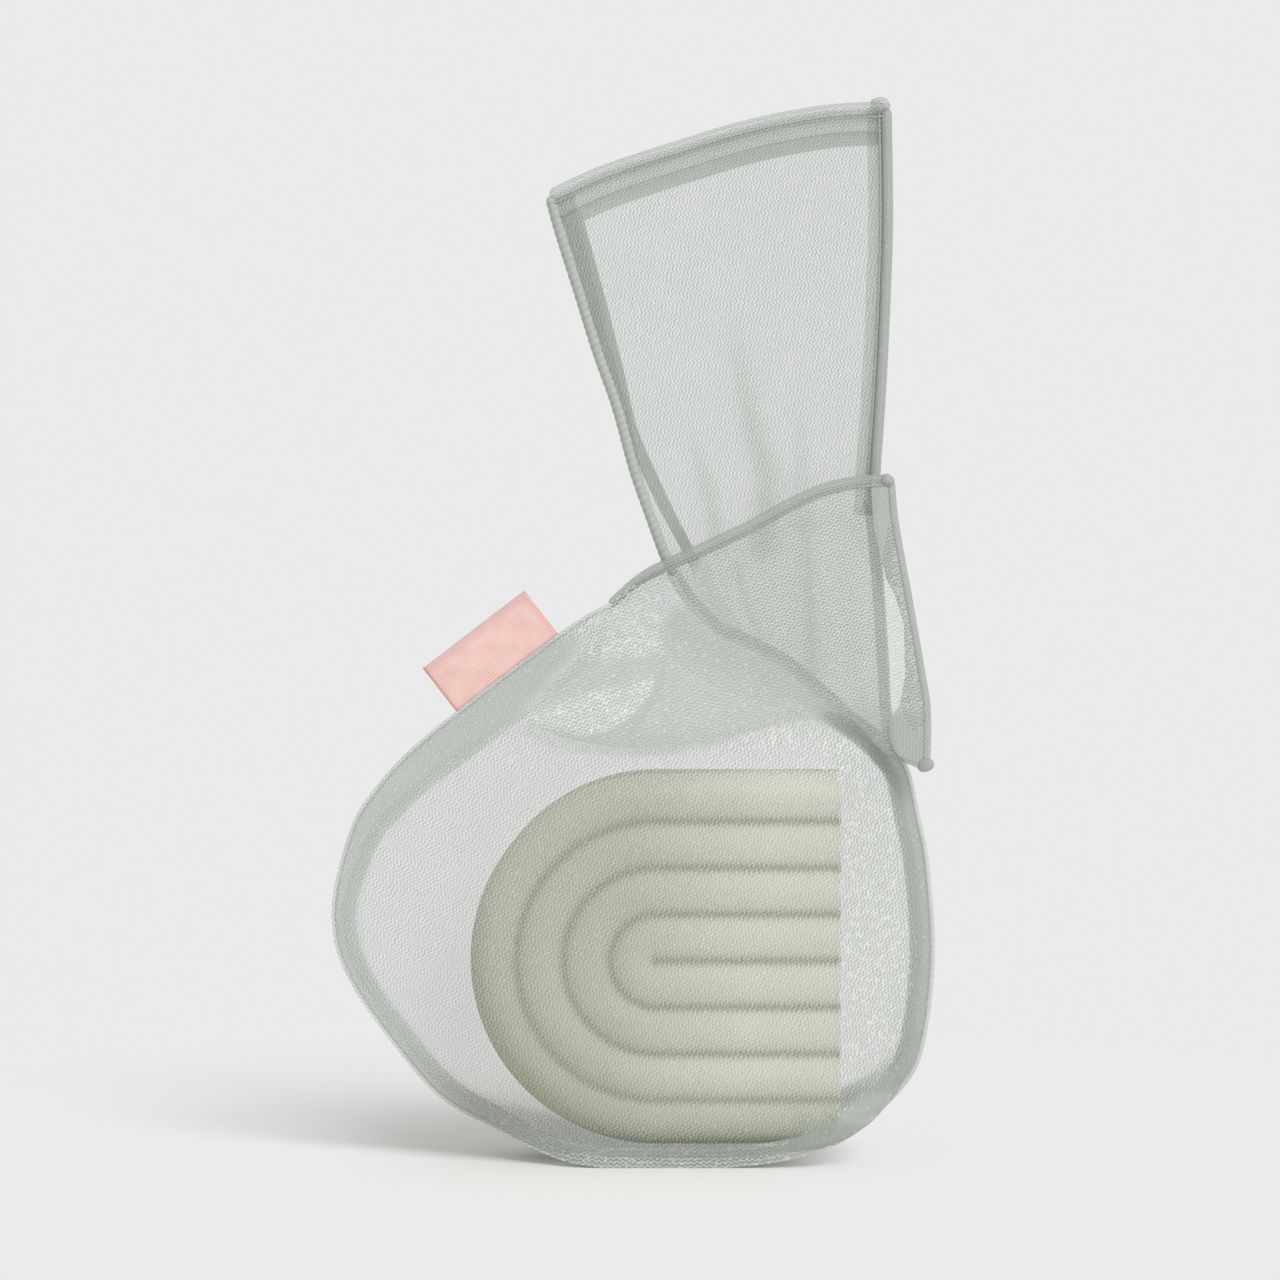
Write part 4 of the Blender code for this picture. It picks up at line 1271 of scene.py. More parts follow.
@dataclass
class Pouch:
    """The body of the bag: two taut cloths over the bar, their rolls and seam allowances."""

    bag: BagMeasures
    wardrobe: Wardrobe
    left_steps: int = 150
    foot_steps: int = 30
    right_steps: int = 110
    mouth_steps: int = 40
    arc_steps: int = 28
    turn_points: int = 7
    wall_points: int = 15
    base_points: int = 5
    face_rings: tuple[float, ...] = (0.1, 0.35, 0.6, 0.8, 0.92)
    cut_height: float = 0.098
    cut_gain: float = 1.1
    roll_radius: float = 0.5 * MM
    roll_plies: float = 0.8
    rim_inset: float = 0.5 * MM
    rim_depth: float = 0.25 * MM
    off_floor: float = 0.15 * MM
    turn_round: float = 0.8 * MM
    skin: float = 0.6 * MM
    middle_shift: float = 4.0 * MM
    slack_start: float = 6.0 * MM
    slack_share: float = 0.10
    slack_most: float = 1.3 * MM
    front_run: float = 116.0
    back_run: float = 125.0
    taut_right: Climb = Climb(30, 8)
    taut_high: Climb = Climb(68, 8)
    climb: Climb = Climb(40, 42)
    low_left: Climb = Climb(12, 10)
    corner_side: Climb = Climb(25, 7)
    corner_height: Climb = Climb(10, 12)
    corner_rim: Climb = Climb(4.6, 1.2)
    bar_plies: float = 0.95
    slack_plies: float = 1.0
    taut_plies: float = 0.16
    fused_plies: float = 1.1
    fused_low_left: float = 0.3
    fused_blur: float = 0.75
    corner_plies: float = 3.0
    knot_thinner: float = 0.62
    fused_wide: float = 3.2 * MM
    fused_wider: float = 3.8 * MM
    fused_soft: float = 1.6 * MM
    fused_top: float = 92.0 * MM
    drag_from: tuple[float, float] = (4.0 * MM, 92.0 * MM)
    drag_height: float = 0.28 * MM
    drag_folds: int = 23
    drag_near: Climb = Climb(4, 6)
    drag_far: Climb = Climb(12, 34)
    drag_rim: Climb = Climb(0.6, 1.5)
    drag_bar: Climb = Climb(9.5, 2.5)

    KNOT = Fold(CROSSING_LOW_SIDE[:9] + MOUTH[:8] + [(-11.0, 89.0), (-16.0, 83.0)], 1.0, soft=0.8)

    def __post_init__(self) -> None:
        """Work out the outline that the pieces share."""
        self.face_depth = self.bag.bar_thickness / 2 + self.bag.clearance
        self.left = smooth_line(in_mm(LEFT_SIDE), self.left_steps)
        self.foot = smooth_line(in_mm(FOOT_SIDE), self.foot_steps)
        self.right = smooth_line(in_mm(RIGHT_SIDE), self.right_steps)
        mouth = smooth_line(in_mm(MOUTH), self.mouth_steps)
        self.outline = np.vstack([self.foot[:-1], self.right[:-1], mouth[:-1], self.left[::-1][:-1]])
        self.outline[:, 1] = np.maximum(self.outline[:, 1], 0)

    def bar_loop(self, inset: float) -> Points:
        """The bar's outline, drawn in by a length, anticlockwise.

        Args:
            inset: How far it is drawn in.

        Returns:
            The outline's points in X and Z.
        """
        radius, right = self.bag.bar_radius - inset, self.bag.bar_right - inset
        high, low = self.bag.bar_corner - inset, self.bag.bar_low_corner - inset
        cx, cz = self.bag.bar_centre
        arcs = (
            (cx, cz, radius, 1, 2),
            (right - low, cz - radius + low, low, 3, 1),
            (right - high, cz + radius - high, high, 0, 1),
        )
        points = []
        for x, z, size, start, quarters in arcs:
            turn = math.pi / 2 * (start + quarters * np.linspace(0, 1, self.arc_steps + 1))
            points.append(np.stack([x + size * np.cos(turn), z + size * np.sin(turn)], axis=1))
        return np.vstack(points)

    def cover(self, points: Points) -> Points:
        """How far forward the front cloth lies at some places.

        Args:
            points: The places in X and Z.

        Returns:
            The depth at each place, 0 outside the outline.
        """
        edge = self.bar_loop(self.skin)
        spots, to_bar = nearest_on(edge, points, closed=True)
        way = (points - spots) / np.maximum(to_bar, 1e-9)[:, None]
        across = np.stack([-way[:, 1], way[:, 0]], axis=1)
        a, b = self.outline[::3], np.roll(self.outline[::3], -1, axis=0)
        one = ((a[None] - points[:, None]) * across[:, None]).sum(2)
        two = ((b[None] - points[:, None]) * across[:, None]).sum(2)
        share = one / np.where(one - two == 0, 1e-12, one - two)
        hit = a[None] + (b - a)[None] * share[:, :, None]
        reach = ((hit - points[:, None]) * way[:, None]).sum(2)
        to_rim = np.where((one > 0) != (two > 0), reach, 0).max(1)
        most = self.face_depth + self.skin
        depth = most * np.clip(to_rim, 0, 1) / np.maximum(to_rim + to_bar, 1e-9)
        return np.where(inside(edge, points), most, depth)

    def profile(self, reach: float, foot: float) -> Points:
        """The cloth's path from the bar's face out to its rim.

        Args:
            reach: How far out the rim is from the line the cloth turns over.
            foot: The depth where the flat foot begins.

        Returns:
            Points of distance out and depth.
        """
        radius = self.turn_round + self.bag.clearance
        height = self.bag.bar_thickness / 2 - self.turn_round
        knee = np.array([reach, max(foot, self.rim_depth)])
        gap = knee - (0, height)
        length = max(np.linalg.norm(gap), radius * 1.0001)
        angle = math.atan2(gap[1], gap[0]) + math.acos(radius / length)
        turn = np.linspace(math.pi / 2, angle, self.turn_points)
        arc = np.stack([radius * np.cos(turn), height + radius * np.sin(turn)], axis=1)
        down = np.linspace(0, 1, self.wall_points)[1:, None]
        wall = arc[-1] * (1 - down) + knee * down
        slack = np.clip(self.slack_share * (reach - self.slack_start), 0, self.slack_most)
        wall[:, 1] -= slack * np.sin(math.pi * down[:, 0])
        inward = np.linspace(0, 1, self.base_points)[1:, None]
        base = knee * (1 - inward) + np.array([reach, self.rim_depth]) * inward
        return np.vstack([arc, wall, base])

    def rings(self, facing: int) -> Points:
        """Rings of points from the bar's face out to the seam.

        Args:
            facing: -1 for the front and 1 for the back.

        Returns:
            An array of rings by points.
        """
        far = nearest_on(self.bar_loop(0.0), self.outline, closed=True)[1]
        feet = self.rim_depth + self.bag.foot.before(far) * (self.bag.foot_half_depth - self.rim_depth)
        rims = self.outline + left_normals(self.outline, closed=True) * self.rim_inset
        spots, reaches = nearest_on(self.bar_loop(self.turn_round), rims, closed=True)
        ways = (rims - spots) / reaches[:, None]
        columns = []
        for spot, way, reach, foot in zip(spots, ways, reaches, feet):
            path = self.profile(reach, foot)
            flat = spot + path[:, :1] * way
            height = np.maximum(flat[:, 1], self.off_floor)
            columns.append(np.stack([flat[:, 0], facing * path[:, 1], height], axis=1))
        return np.stack(columns, axis=1)

    def density(self, points: Points, over_bar: Points) -> tuple[Points, Points]:
        """How thick and how bold the mesh is: fused at the seams, taut at the right, thin at the knot.

        Args:
            points: The cloth's points.
            over_bar: Whether each point lies on the bar's face.

        Returns:
            The number of plies, and from -1 blurred to 1 bold, at each point.
        """
        x, z, flat = points[:, 0], points[:, 2], points[:, [0, 2]]
        taut = np.minimum(self.taut_right.at(x) + self.taut_high.at(z), 1) * ~over_bar
        near_rim = nearest_on(self.outline, flat, closed=True)[1]
        climb = self.climb.at(z) * (x < 0)
        fused = 1 - smooth_step((near_rim - self.fused_wide - self.fused_wider * climb) / self.fused_soft)
        fused *= z < self.fused_top
        low_left = (x < 0) * self.low_left.at(z)
        corner = self.corner_side.at(x) * self.corner_height.before(z)
        at_seam = (self.fused_plies - self.fused_low_left * low_left) * fused
        plies = np.where(over_bar, self.bar_plies, self.slack_plies + self.taut_plies * taut + at_seam)
        plies += self.corner_plies * self.corner_rim.before(near_rim) * corner
        plies *= 1 - self.knot_thinner * self.KNOT.weight(flat)
        # A bold mesh also shows stronger painted highlights.
        return plies, taut * (1 - fused) * (1 - corner) - self.fused_blur * fused

    def ripple(self, points: Points, facing: int) -> None:
        """Press shallow drag folds into the cloth, fanning down from the knot.

        Args:
            points: The cloth's points, which are moved.
            facing: -1 for the front and 1 for the back.
        """
        away = points[:, [0, 2]] - self.drag_from
        far = np.linalg.norm(away, axis=1)
        angle = np.arctan2(away[:, 1], away[:, 0])
        fade = self.drag_near.at(far) * self.drag_far.before(far)
        deep = np.abs(points[:, 1])
        free = self.drag_rim.at(deep) * self.drag_bar.before(deep)
        wave = np.sin(angle * self.drag_folds + 1.1 * np.sin(angle * 7) + (0 if facing < 0 else 2.0))
        points[:, 1] += facing * self.drag_height * wave * fade * free

    def panel(self, name: str, facing: int) -> Piece:
        """One side of the pouch.

        Args:
            name: The piece's name.
            facing: -1 for the front and 1 for the back.

        Returns:
            The new object.
        """
        rings = self.rings(facing)
        centre = self.bag.bar_centre
        middle = np.array([centre[0] + self.middle_shift, facing * self.face_depth, centre[1]])
        inner = [middle + (rings[0] - middle) * share for share in self.face_rings]
        points = np.vstack([middle[None]] + inner + [rings.reshape(-1, 3)])
        count, total = len(self.outline), len(inner) + len(rings)
        over_bar = np.r_[0, np.repeat(np.arange(total), count)] < len(inner) + 3
        self.ripple(points, facing)
        faces = grid_faces(total, count, start=1, closed=True)
        faces += [(0, 1 + (k + 1) % count, 1 + k) for k in range(count)]
        if facing < 0:
            faces = [f[::-1] for f in faces]
        run = run_of_cloth(points[:, [0, 2]], self.front_run if facing < 0 else self.back_run)
        plies, bold = self.density(points, over_bar)
        return mesh_piece(name, points, faces, plies, np.column_stack([run, bold * MM]))

    def side_rolls(self) -> list[Piece]:
        """The rolls along the two sides and the foot.

        Returns:
            The new objects.
        """
        radius = self.roll_radius
        rolls = []
        for name, line, side, node in (
            ("left_side_roll", self.left, -1, "side_seam_left"),
            ("right_side_roll", self.right, 1, "side_seam_right"),
            ("foot_roll", self.foot, 1, "bottom_seam"),
        ):
            route = line + left_normals(line) * side * radius
            route[:, 1] = np.maximum(route[:, 1], radius)
            plies, finish = (self.roll_plies, Finish.BODY) if side < 0 else (0.0, Finish.FRINGE)
            thread = ThreadRoll(lift(route[::2], 0.0), radius, relief=0.10, flatness=0.8, plies=plies)
            roll = self.wardrobe.dress(thread.build(name), finish)
            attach(roll, "pouch")
            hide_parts(node)
            rolls.append(roll)
            log.info("made %s", name)
        return rolls

    def cut_area(self, width: float) -> float:
        """The area of one cloth before it is sewn, from the outline and what the bar's depth takes.

        Args:
            width: The cut cloth's width.

        Returns:
            The area in square metres.
        """
        x, z = self.outline[:, 0], self.outline[:, 1]
        area = abs(float(np.sum(x * np.roll(z, -1) - z * np.roll(x, -1)))) / 2
        return min(area * self.cut_gain, width * self.cut_height)

    def build(self) -> None:
        """Make every piece of the pouch and place it on its body."""
        front, back = self.panel("pouch_front_cloth", -1), self.panel("pouch_back_cloth", 1)
        for piece, node in ((front, "body_front_panel"), (back, "body_back_panel")):
            self.wardrobe.dress(piece, Finish.BODY)
            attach(piece, "pouch")
            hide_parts(node)
            log.info("made %s", piece.name)
        rolls = self.side_rolls()
        seam = np.vstack([self.left[::-1], self.foot[1:], self.right[1:]])
        bands = SeamAllowances(self.bag).build(seam, self.bar_loop(0.0))
        for band in bands:
            self.wardrobe.dress(band, Finish.BODY)
            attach(band, "pouch")
            log.info("made %s", band.name)
        flat = (2 * self.outline[:, 0].max(), self.cut_height)
        area = self.cut_area(flat[0])


# The ties


@dataclass
class CrossingTie:
    """The tie that crosses in front of the knot, with its free end to the right."""

    pouch: Pouch
    wardrobe: Wardrobe
    stand_off: float = 5.5 * MM
    stand_off_share: float = 0.35
    over_pouch: float = 0.35 * MM
    blend_gap: float = 1.0 * MM
    blend_rise: float = 0.4 * MM
    back_start: float = 5.2 * MM
    half_gap: float = 0.45 * MM
    puff: float = 0.9 * MM
    back_gap: float = 0.1 * MM
    back_puff_share: float = 0.7
    flutter: float = 0.35 * MM
    flutter_turns: float = 0.8 / MM
    flutter_slant: float = 3.0
    left_fade_start_share: float = -0.02
    left_fade_run_share: float = 0.06
    fold_rise: float = 0.25 * MM
    rows: int = 130
    columns: int = 190
    free_start_share: float = 0.45
    free_run_share: float = 0.3
    left_plies: float = 1.75
    right_plies: float = 0.9
    back_plies: float = 0.3
    least_plies: float = 0.08
    left_bold: float = 0.9
    slit_bold: float = 0.8
    thick_fold: float = 0.4
    left_part: Climb = Climb(5.2, 0.4)
    slit_side: Climb = Climb(44, 1)
    slit_height: Climb = Climb(79, 1)
    front_run: float = -24.0
    back_run: float = -31.0
    front_cut: tuple[float, float] = (0.066, 0.048)
    front_area: float = 0.0026
    back_cut: tuple[float, float] = (0.050, 0.048)
    back_area: float = 0.0019
    hem_shift: float = 0.5 * MM
    hem_band_off: float = 0.9 * MM
    edge_off: float = 0.2 * MM
    knob_off: float = 0.3 * MM
    top_radius: float = 1.1 * MM
    hem_radius: float = 0.8 * MM
    low_radius: float = 0.5 * MM
    knob_radius: float = 1.2 * MM
    stitch_radius: float = 0.3 * MM
    stitch_inset: float = 0.75 * MM
    stitch_off: float = 0.62 * MM

    TOP = [
        (-4.4, 97.6), (-2.6, 99.2), (0.3, 101.6), (4.6, 104.2), (13.0, 108.2), (21.0, 112.0), (26.6, 115.2),
        (32.6, 117.9), (38.6, 119.3), (43.9, 119.6),
    ]
    LEFT = [(-20.0, 77.9), (-15.6, 82.6), (-10.6, 88.2), (-4.4, 97.6)]
    RIGHT = [
        (50.2, 69.6), (50.3, 79.2), (49.3, 86.0), (47.2, 98.0), (45.2, 108.8), (44.4, 114.0), (43.9, 119.6),
    ]
    HINGE = [(36.294, 78.827), (31.03, 118.93)]
    LOW_ROLL_START = 12
    LOW_KNOB = [(49.2, 69.6), (50.8, 70.0), (52.0, 70.6)]
    TOP_KNOB = [(42.6, 119.7), (43.8, 119.6), (44.6, 118.6)]
    HEM_WIDTHS = [
        (69.6, 1.0), (71, 3.6), (72.4, 5.2), (75, 6.0), (77.6, 6.2), (80.4, 4.4), (86, 2.3), (94.7, 1.0),
        (100, 1.6), (103, 2.6), (112, 3.2), (119.6, 2.8),
    ]
    HEM_PLIES = [(69.6, 3.8), (77.0, 4.4), (84.0, 5.4), (90.0, 7.0)]
    FOLDS = [
        Fold([(-9.4, 88.2), (-1.4, 88.4), (4.2, 89.4), (5.4, 88.6), (3.8, 85.6), (-3.5, 83.9), (-9.4, 82.6),
              (-21.0, 77.4), (-19.0, 82.0)], 2.1, soft=0.8),
        Fold([(5.3, 73.0), (5.3, 88.0), (3.8, 85.6), (2.8, 82.4), (-0.7, 78.6), (-4.9, 76.2), (-9.4, 75.1),
              (-14.8, 76.3), (-19.0, 77.6), (-9.4, 73.0)], 3.9, soft=0.2),
        Fold([(0.4, 75.0), (2.0, 78.4), (4.0, 81.8), (5.2, 82.6), (5.2, 75.0)], -2.2, soft=0.4),
        Fold([(5.2, 103.5), (5.2, 73.0), (31.0, 73.0), (36.4, 78.0), (60.0, 60.0), (60.0, 125.0),
              (31.0, 119.5), (13.0, 110.0)], 0.12, soft=0.2),
        Fold([(7.0, 97.0), (9.8, 98.0), (14.2, 93.2), (26.0, 87.5), (35.0, 80.5), (27.0, 78.0), (12.0, 74.5),
              (5.2, 73.0), (5.2, 94.0)], 3.6, soft=1.4),
        Fold([(9.9, 105.6), (10.4, 102.3), (12.2, 98.1), (15.5, 93.9), (18.9, 93.6), (16.7, 96.9),
              (13.8, 101.2), (12.6, 106.4)], 2.6, soft=0.4),
        Fold([(18.0, 108.5), (18.9, 102.3), (20.6, 96.7), (22.4, 92.4)], 2.2, width=0.9, fade=5.0),
        Fold([(30.6, 115.5), (30.8, 104.0), (31.2, 94.0), (31.4, 86.0)], 2.2, width=1.3, fade=4.0),
        Fold([(44.6, 102.6), (44.3, 97.0), (44.3, 90.0), (46.0, 80.3), (47.2, 86.0), (47.4, 94.0),
              (46.2, 101.0)], -0.1, soft=0.3),
        Fold([(35.0, 80.5), (40.0, 80.6), (46.0, 79.0), (50.4, 78.0), (51.0, 68.0), (43.8, 70.5),
              (38.5, 75.4)], 2.2, soft=1.6),
    ]

    def depth(self, places: Points, along: Points) -> Points:
        """How far forward the tie's middle lies.

        Args:
            places: The places in X and Z.
            along: The share of the tie's length at each place.

        Returns:
            The depth at each place.
        """
        own = self.stand_off * smooth_step(along / self.stand_off_share)
        under = self.pouch.cover(places) + self.over_pouch
        rise = self.blend_rise * np.exp(-(((own - under) / self.blend_gap) ** 2))
        return np.maximum(own, under) + rise

    def edge_depth(self, line: Points) -> Points:
        """The depth in Y of a roll at the tie's free end."""
        return -(self.depth(line, np.ones(len(line))) + self.edge_off)

    def density(self, flat: Points, share: Points) -> tuple[Points, Points, Points]:
        """How thick and bold the front ply's mesh is, and how its folds stand out.

        Args:
            flat: The places in X and Z.
            share: The share of the tie's length at each place.

        Returns:
            The number of plies, from 0 to 1 how bold, and the folds' rise, at each place.
        """
        left = self.left_part.before(flat[:, 0])
        plies = self.right_plies + (self.left_plies - self.right_plies) * left
        slit = self.slit_side.at(flat[:, 0]) * self.slit_height.at(flat[:, 1])
        bold = self.left_bold * left + self.slit_bold * slit
        rise = np.zeros(len(flat))
        for fold in self.FOLDS:
            weight = fold.weight(flat)
            plies += fold.plies * weight
            bold *= 1 - weight * (fold.plies > self.thick_fold)
            rise += self.fold_rise * weight * (1 if fold.width else 0)
        plies *= smooth_step((share - self.left_fade_start_share) / self.left_fade_run_share)
        return plies, bold, rise

    def ply(self, name: str, facing: int) -> Piece:
        """One ply of the tie.

        Args:
            name: The piece's name.
            facing: -1 for the front ply and 1 for the back ply.

        Returns:
            The new object.
        """
        sides = [in_mm(side) for side in (CROSSING_LOW_SIDE, self.TOP, self.LEFT, self.RIGHT)]
        places = patch(*sides, self.rows, self.columns)
        along = np.broadcast_to(np.linspace(0, 1, places.shape[1])[None], places.shape[:2])
        if facing > 0:
            start = int(np.argmax(places[0, :, 0] > self.back_start))
            places, along = places[:, start:].copy(), along[:, start:]
            places[:, 0, 0] = self.back_start
        flat, shape, share = places.reshape(-1, 2), places.shape[:2], along.reshape(-1)
        up = np.broadcast_to(np.linspace(0, 1, shape[0])[:, None], shape).reshape(-1)
        free = smooth_step((share - self.free_start_share) / self.free_run_share)
        puff = self.puff * np.sin(math.pi * up) * free
        deep = self.depth(flat, share)
        if facing < 0:
            wave = np.sin(flat[:, 0] * self.flutter_turns + up * self.flutter_slant)
            wave *= self.flutter * free * np.sin(math.pi * up)
            plies, bold, rise = self.density(flat, share)
            deep += self.half_gap + puff + wave + rise
            run = run_of_cloth(flat, self.front_run)
        else:
            plies, bold = np.full(len(flat), self.back_plies), np.zeros(len(flat))
            deep -= self.back_gap + self.back_puff_share * puff
            run = run_of_cloth(flat, self.back_run)
        grid = np.stack([flat[:, 0], -deep, flat[:, 1]], axis=1).reshape(*shape, 3)
        plies = np.maximum(plies, self.least_plies)
        return grid_piece(name, grid, plies, np.column_stack([run, bold * MM]))

    def across_hinge(self, piece: Piece) -> None:
        """Bake a piece's placement into its points.

        Args:
            piece: The piece, which has no parent.
        """
        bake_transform(piece)

    def hem_band(self) -> Piece:
        """The folded hem inside the free end, wide where it hangs below the knot.

        Returns:
            The new object.
        """
        right = smooth_line(in_mm(self.RIGHT), 120)
        height = right[:, 1] / MM
        wide = np.interp(height, *zip(*self.HEM_WIDTHS)) * MM
        thick = np.interp(height, *zip(*self.HEM_PLIES))
        band = ClothBand(right, wide, thick, depth=-self.stand_off - self.hem_band_off)
        return band.build("crossing_hem_band")

    def top_edge(self) -> tuple[Piece, Piece]:
        """The roll on the tie's upper edge and the line of stitches under it.

        Returns:
            The roll and the stitches.
        """
        top = smooth_line(in_mm(self.TOP), 160)
        share = np.linspace(0, 1, len(top))
        deep = -self.stand_off * smooth_step(share / self.stand_off_share) - self.edge_off
        roll = ThreadRoll(lift(top, deep), self.top_radius, flatness=0.7, relief=0.05, grows=12 * MM,
                          plies=2.5)
        below = lift(top - left_normals(top) * self.stitch_inset, deep - self.stitch_off)
        stitch = ThreadRoll(below, self.stitch_radius, rib=0.8 * MM, relief=0.7, slant=0.0, sides=8)
        return roll.build("crossing_top_roll"), stitch.build("crossing_top_stitch")

    def edges(self) -> list[Piece]:
        """The rolls, knobs, stitches and hem bands on the tie's edges.

        Returns:
            The new objects.
        """
        top, stitch = self.top_edge()
        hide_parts("front_tie_top_seam", "front_tie_end_top_seam")
        outer = smooth_line(in_mm(self.RIGHT), 120) + (self.hem_shift, 0.0)
        hem_roll = ThreadRoll(lift(outer, -self.stand_off), self.hem_radius, relief=0.05, plies=3.0)
        hem = hem_roll.build("crossing_hem_roll")
        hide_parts("front_tie_end_hem")
        band = self.hem_band()
        low = smooth_line(in_mm(CROSSING_LOW_SIDE[-4:]), 60)[self.LOW_ROLL_START:]
        low_roll = ThreadRoll(lift(low, self.edge_depth(low)), self.low_radius, grows=8 * MM, flatness=0.6,
                              plies=2.0)
        foot = low_roll.build("crossing_low_roll")
        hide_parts("front_tie_end_low_seam")
        made = [top, stitch, hem, band, foot]
        for name, ends in (("crossing_low_knob", self.LOW_KNOB), ("crossing_top_knob", self.TOP_KNOB)):
            route = lift(smooth_line(in_mm(ends), 12), -self.stand_off - self.knob_off)
            made.append(ThreadRoll(route, self.knob_radius, relief=0.05, plies=4.0).build(name))
        for piece in made:
            self.wardrobe.dress(piece, Finish.STITCH if piece is stitch else Finish.HEM)
        return made

    def build(self) -> None:
        """Make every piece of the tie."""
        front, back = self.ply("crossing_front_ply", -1), self.ply("crossing_back_ply", 1)
        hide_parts("front_tie_wrap", "front_tie_end_front_ply")
        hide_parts("front_tie_end_back_ply")
        for piece in (front, back):
            self.wardrobe.dress(piece, Finish.TIE)
        extras = self.edges()
        for piece in (front, back, *extras):
            self.across_hinge(piece)
            log.info("made %s", piece.name)


@dataclass
class StandingTie:
    """The tie that stands up behind the knot, hemmed at its top."""

    bag: BagMeasures
    wardrobe: Wardrobe
    cut: tuple[float, float] = (0.060, 0.110)
    cut_area: float = 0.0056
    bow: float = 0.7 * MM
    bow_turns: float = 0.11 / MM
    bow_start: float = 0.6
    bow_height: Climb = Climb(112, 70)
    tucked: float = 4.2 * MM
    tucked_side: Climb = Climb(20, 20)
    tucked_height: Climb = Climb(102, 16)
    half_gap: float = 0.3 * MM
    swell: float = 1.2 * MM
    swell_start_share: float = 0.3
    rows: int = 170
    columns: int = 100
    base_plies: float = 1.1
    front_run: float = 101.0
    back_run: float = 84.0
    back_stretch: float = 1.06

    LEFT = [
        (9.0, 98.5), (7.0, 102.5), (5.4, 105.8), (2.7, 113.2), (0.0, 121.0), (-3.0, 131.9), (-6.4, 141.6),
        (-9.7, 152.2), (-12.9, 162.4), (-14.6, 168.6),
    ]
    TOP = [(-14.6, 168.6), (-5.5, 172.7), (7.2, 176.9), (19.9, 180.7), (32.6, 183.2), (43.6, 183.9)]
    RIGHT = [
        (45.4, 71.8), (44.4, 79.0), (44.0, 86.0), (43.5, 94.0), (42.6, 106.0), (41.6, 116.0), (41.9, 121.0),
        (42.8, 135.0), (43.5, 150.0), (43.9, 165.0), (43.6, 183.9),
    ]
    RIGHT_ABOVE = [(41.4, 113.0)] + RIGHT[5:]
    LOW = [(9.0, 98.5), (14.6, 92.8), (18.6, 91.0), (25.8, 87.2), (32.2, 82.0), (38.5, 76.6), (45.4, 71.8)]
    INNER = [
        (-9.8, 166.4), (-9.1, 163.4), (-5.5, 150.3), (-2.5, 138.4), (-0.6, 130.0), (0.8, 125.8), (3.0, 120.8),
        (5.8, 114.7), (9.0, 108.4), (11.6, 103.0),
    ]
    KNOB = [(41.0, 183.8), (42.6, 184.4), (44.0, 183.4)]
    CROSSING = [
        (6.4, 103.6), (9.8, 98.4), (14.2, 93.8), (18.6, 91.6), (25.8, 87.9), (32.2, 82.9), (37.4, 78.2),
    ]
    HINGE = [(4.208, 103.472), (42.4, 119.3)]
    FOLDS = [
        Fold([(16.5, 154.0), (19.0, 140.0), (21.5, 128.0), (23.5, 120.0), (22.5, 108.0)], 0.9, width=2.3,
             rise=0.8, fade=30.0),
        Fold([(27.5, 140.0), (29.5, 126.0), (29.0, 112.0)], 0.4, width=1.6, rise=0.5, fade=16.0),
        Fold([(8.5, 132.0), (13.0, 118.0), (15.0, 108.0)], 0.7, width=1.6, rise=0.4, fade=16.0),
    ]
    EDGE_STEPS = 200

    def lean(self, places: Points) -> Points:
        """Where the tie's middle lies in Y: bowed above, tucked forward low at the right.

        Args:
            places: The places in X and Z.

        Returns:
            The depth at each place.
        """
        x, z = places[:, 0], places[:, 1]
        bow = self.bow * np.sin(x * self.bow_turns + self.bow_start) * self.bow_height.at(z)
        return bow - self.tucked * self.tucked_side.at(x) * self.tucked_height.before(z)

    def ply(self, name: str, facing: int) -> Piece:
        """One ply of the tie.

        Args:
            name: The piece's name.
            facing: -1 for the front ply and 1 for the back ply.

        Returns:
            The new object.
        """
        sides = [in_mm(side) for side in (self.LOW, self.TOP, self.LEFT, self.RIGHT)]
        places = patch(*sides, self.rows, self.columns)
        flat, shape = places.reshape(-1, 2), places.shape[:2]
        up = np.broadcast_to(np.linspace(0, 1, shape[0])[:, None], shape).reshape(-1)
        over = np.broadcast_to(np.linspace(0, 1, shape[1])[None], shape).reshape(-1)
        arch = np.sin(math.pi * over)
        risen = np.clip((up - self.swell_start_share) / (1 - self.swell_start_share), 0, 1)
        deep = self.half_gap + self.swell * np.sin(math.pi * risen) * arch
        plies = np.full(len(flat), self.base_plies)
        for fold in self.FOLDS:
            weight = fold.weight(flat)
            plies += fold.plies * weight
            deep -= facing * fold.rise * MM * weight * arch
        grid = np.stack([flat[:, 0], facing * deep + self.lean(flat), flat[:, 1]], axis=1).reshape(*shape, 3)
        if facing < 0:
            return grid_piece(name, grid, plies, run_of_cloth(flat, self.front_run))
        return grid_piece(name, grid, plies, run_of_cloth(flat, self.back_run) * self.back_stretch)

    def across_hinge(self, piece: Piece) -> None:
        """Bake a piece's placement into its points.

        Args:
            piece: The piece, which has no parent.
        """
        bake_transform(piece)

    def finished(self, piece: Piece, finish: Finish, *nodes: str) -> Piece:
        """Dress a piece, bake its placement into its points, and put it in the place of its nodes.

        Args:
            piece: The piece.
            finish: Its finish.
            *nodes: The CAD nodes that it replaces, if any.

        Returns:
            The same piece.
        """
        self.wardrobe.dress(piece, finish)
        self.across_hinge(piece)
        if nodes:
            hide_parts(*nodes)
        log.info("made %s", piece.name)
        return piece

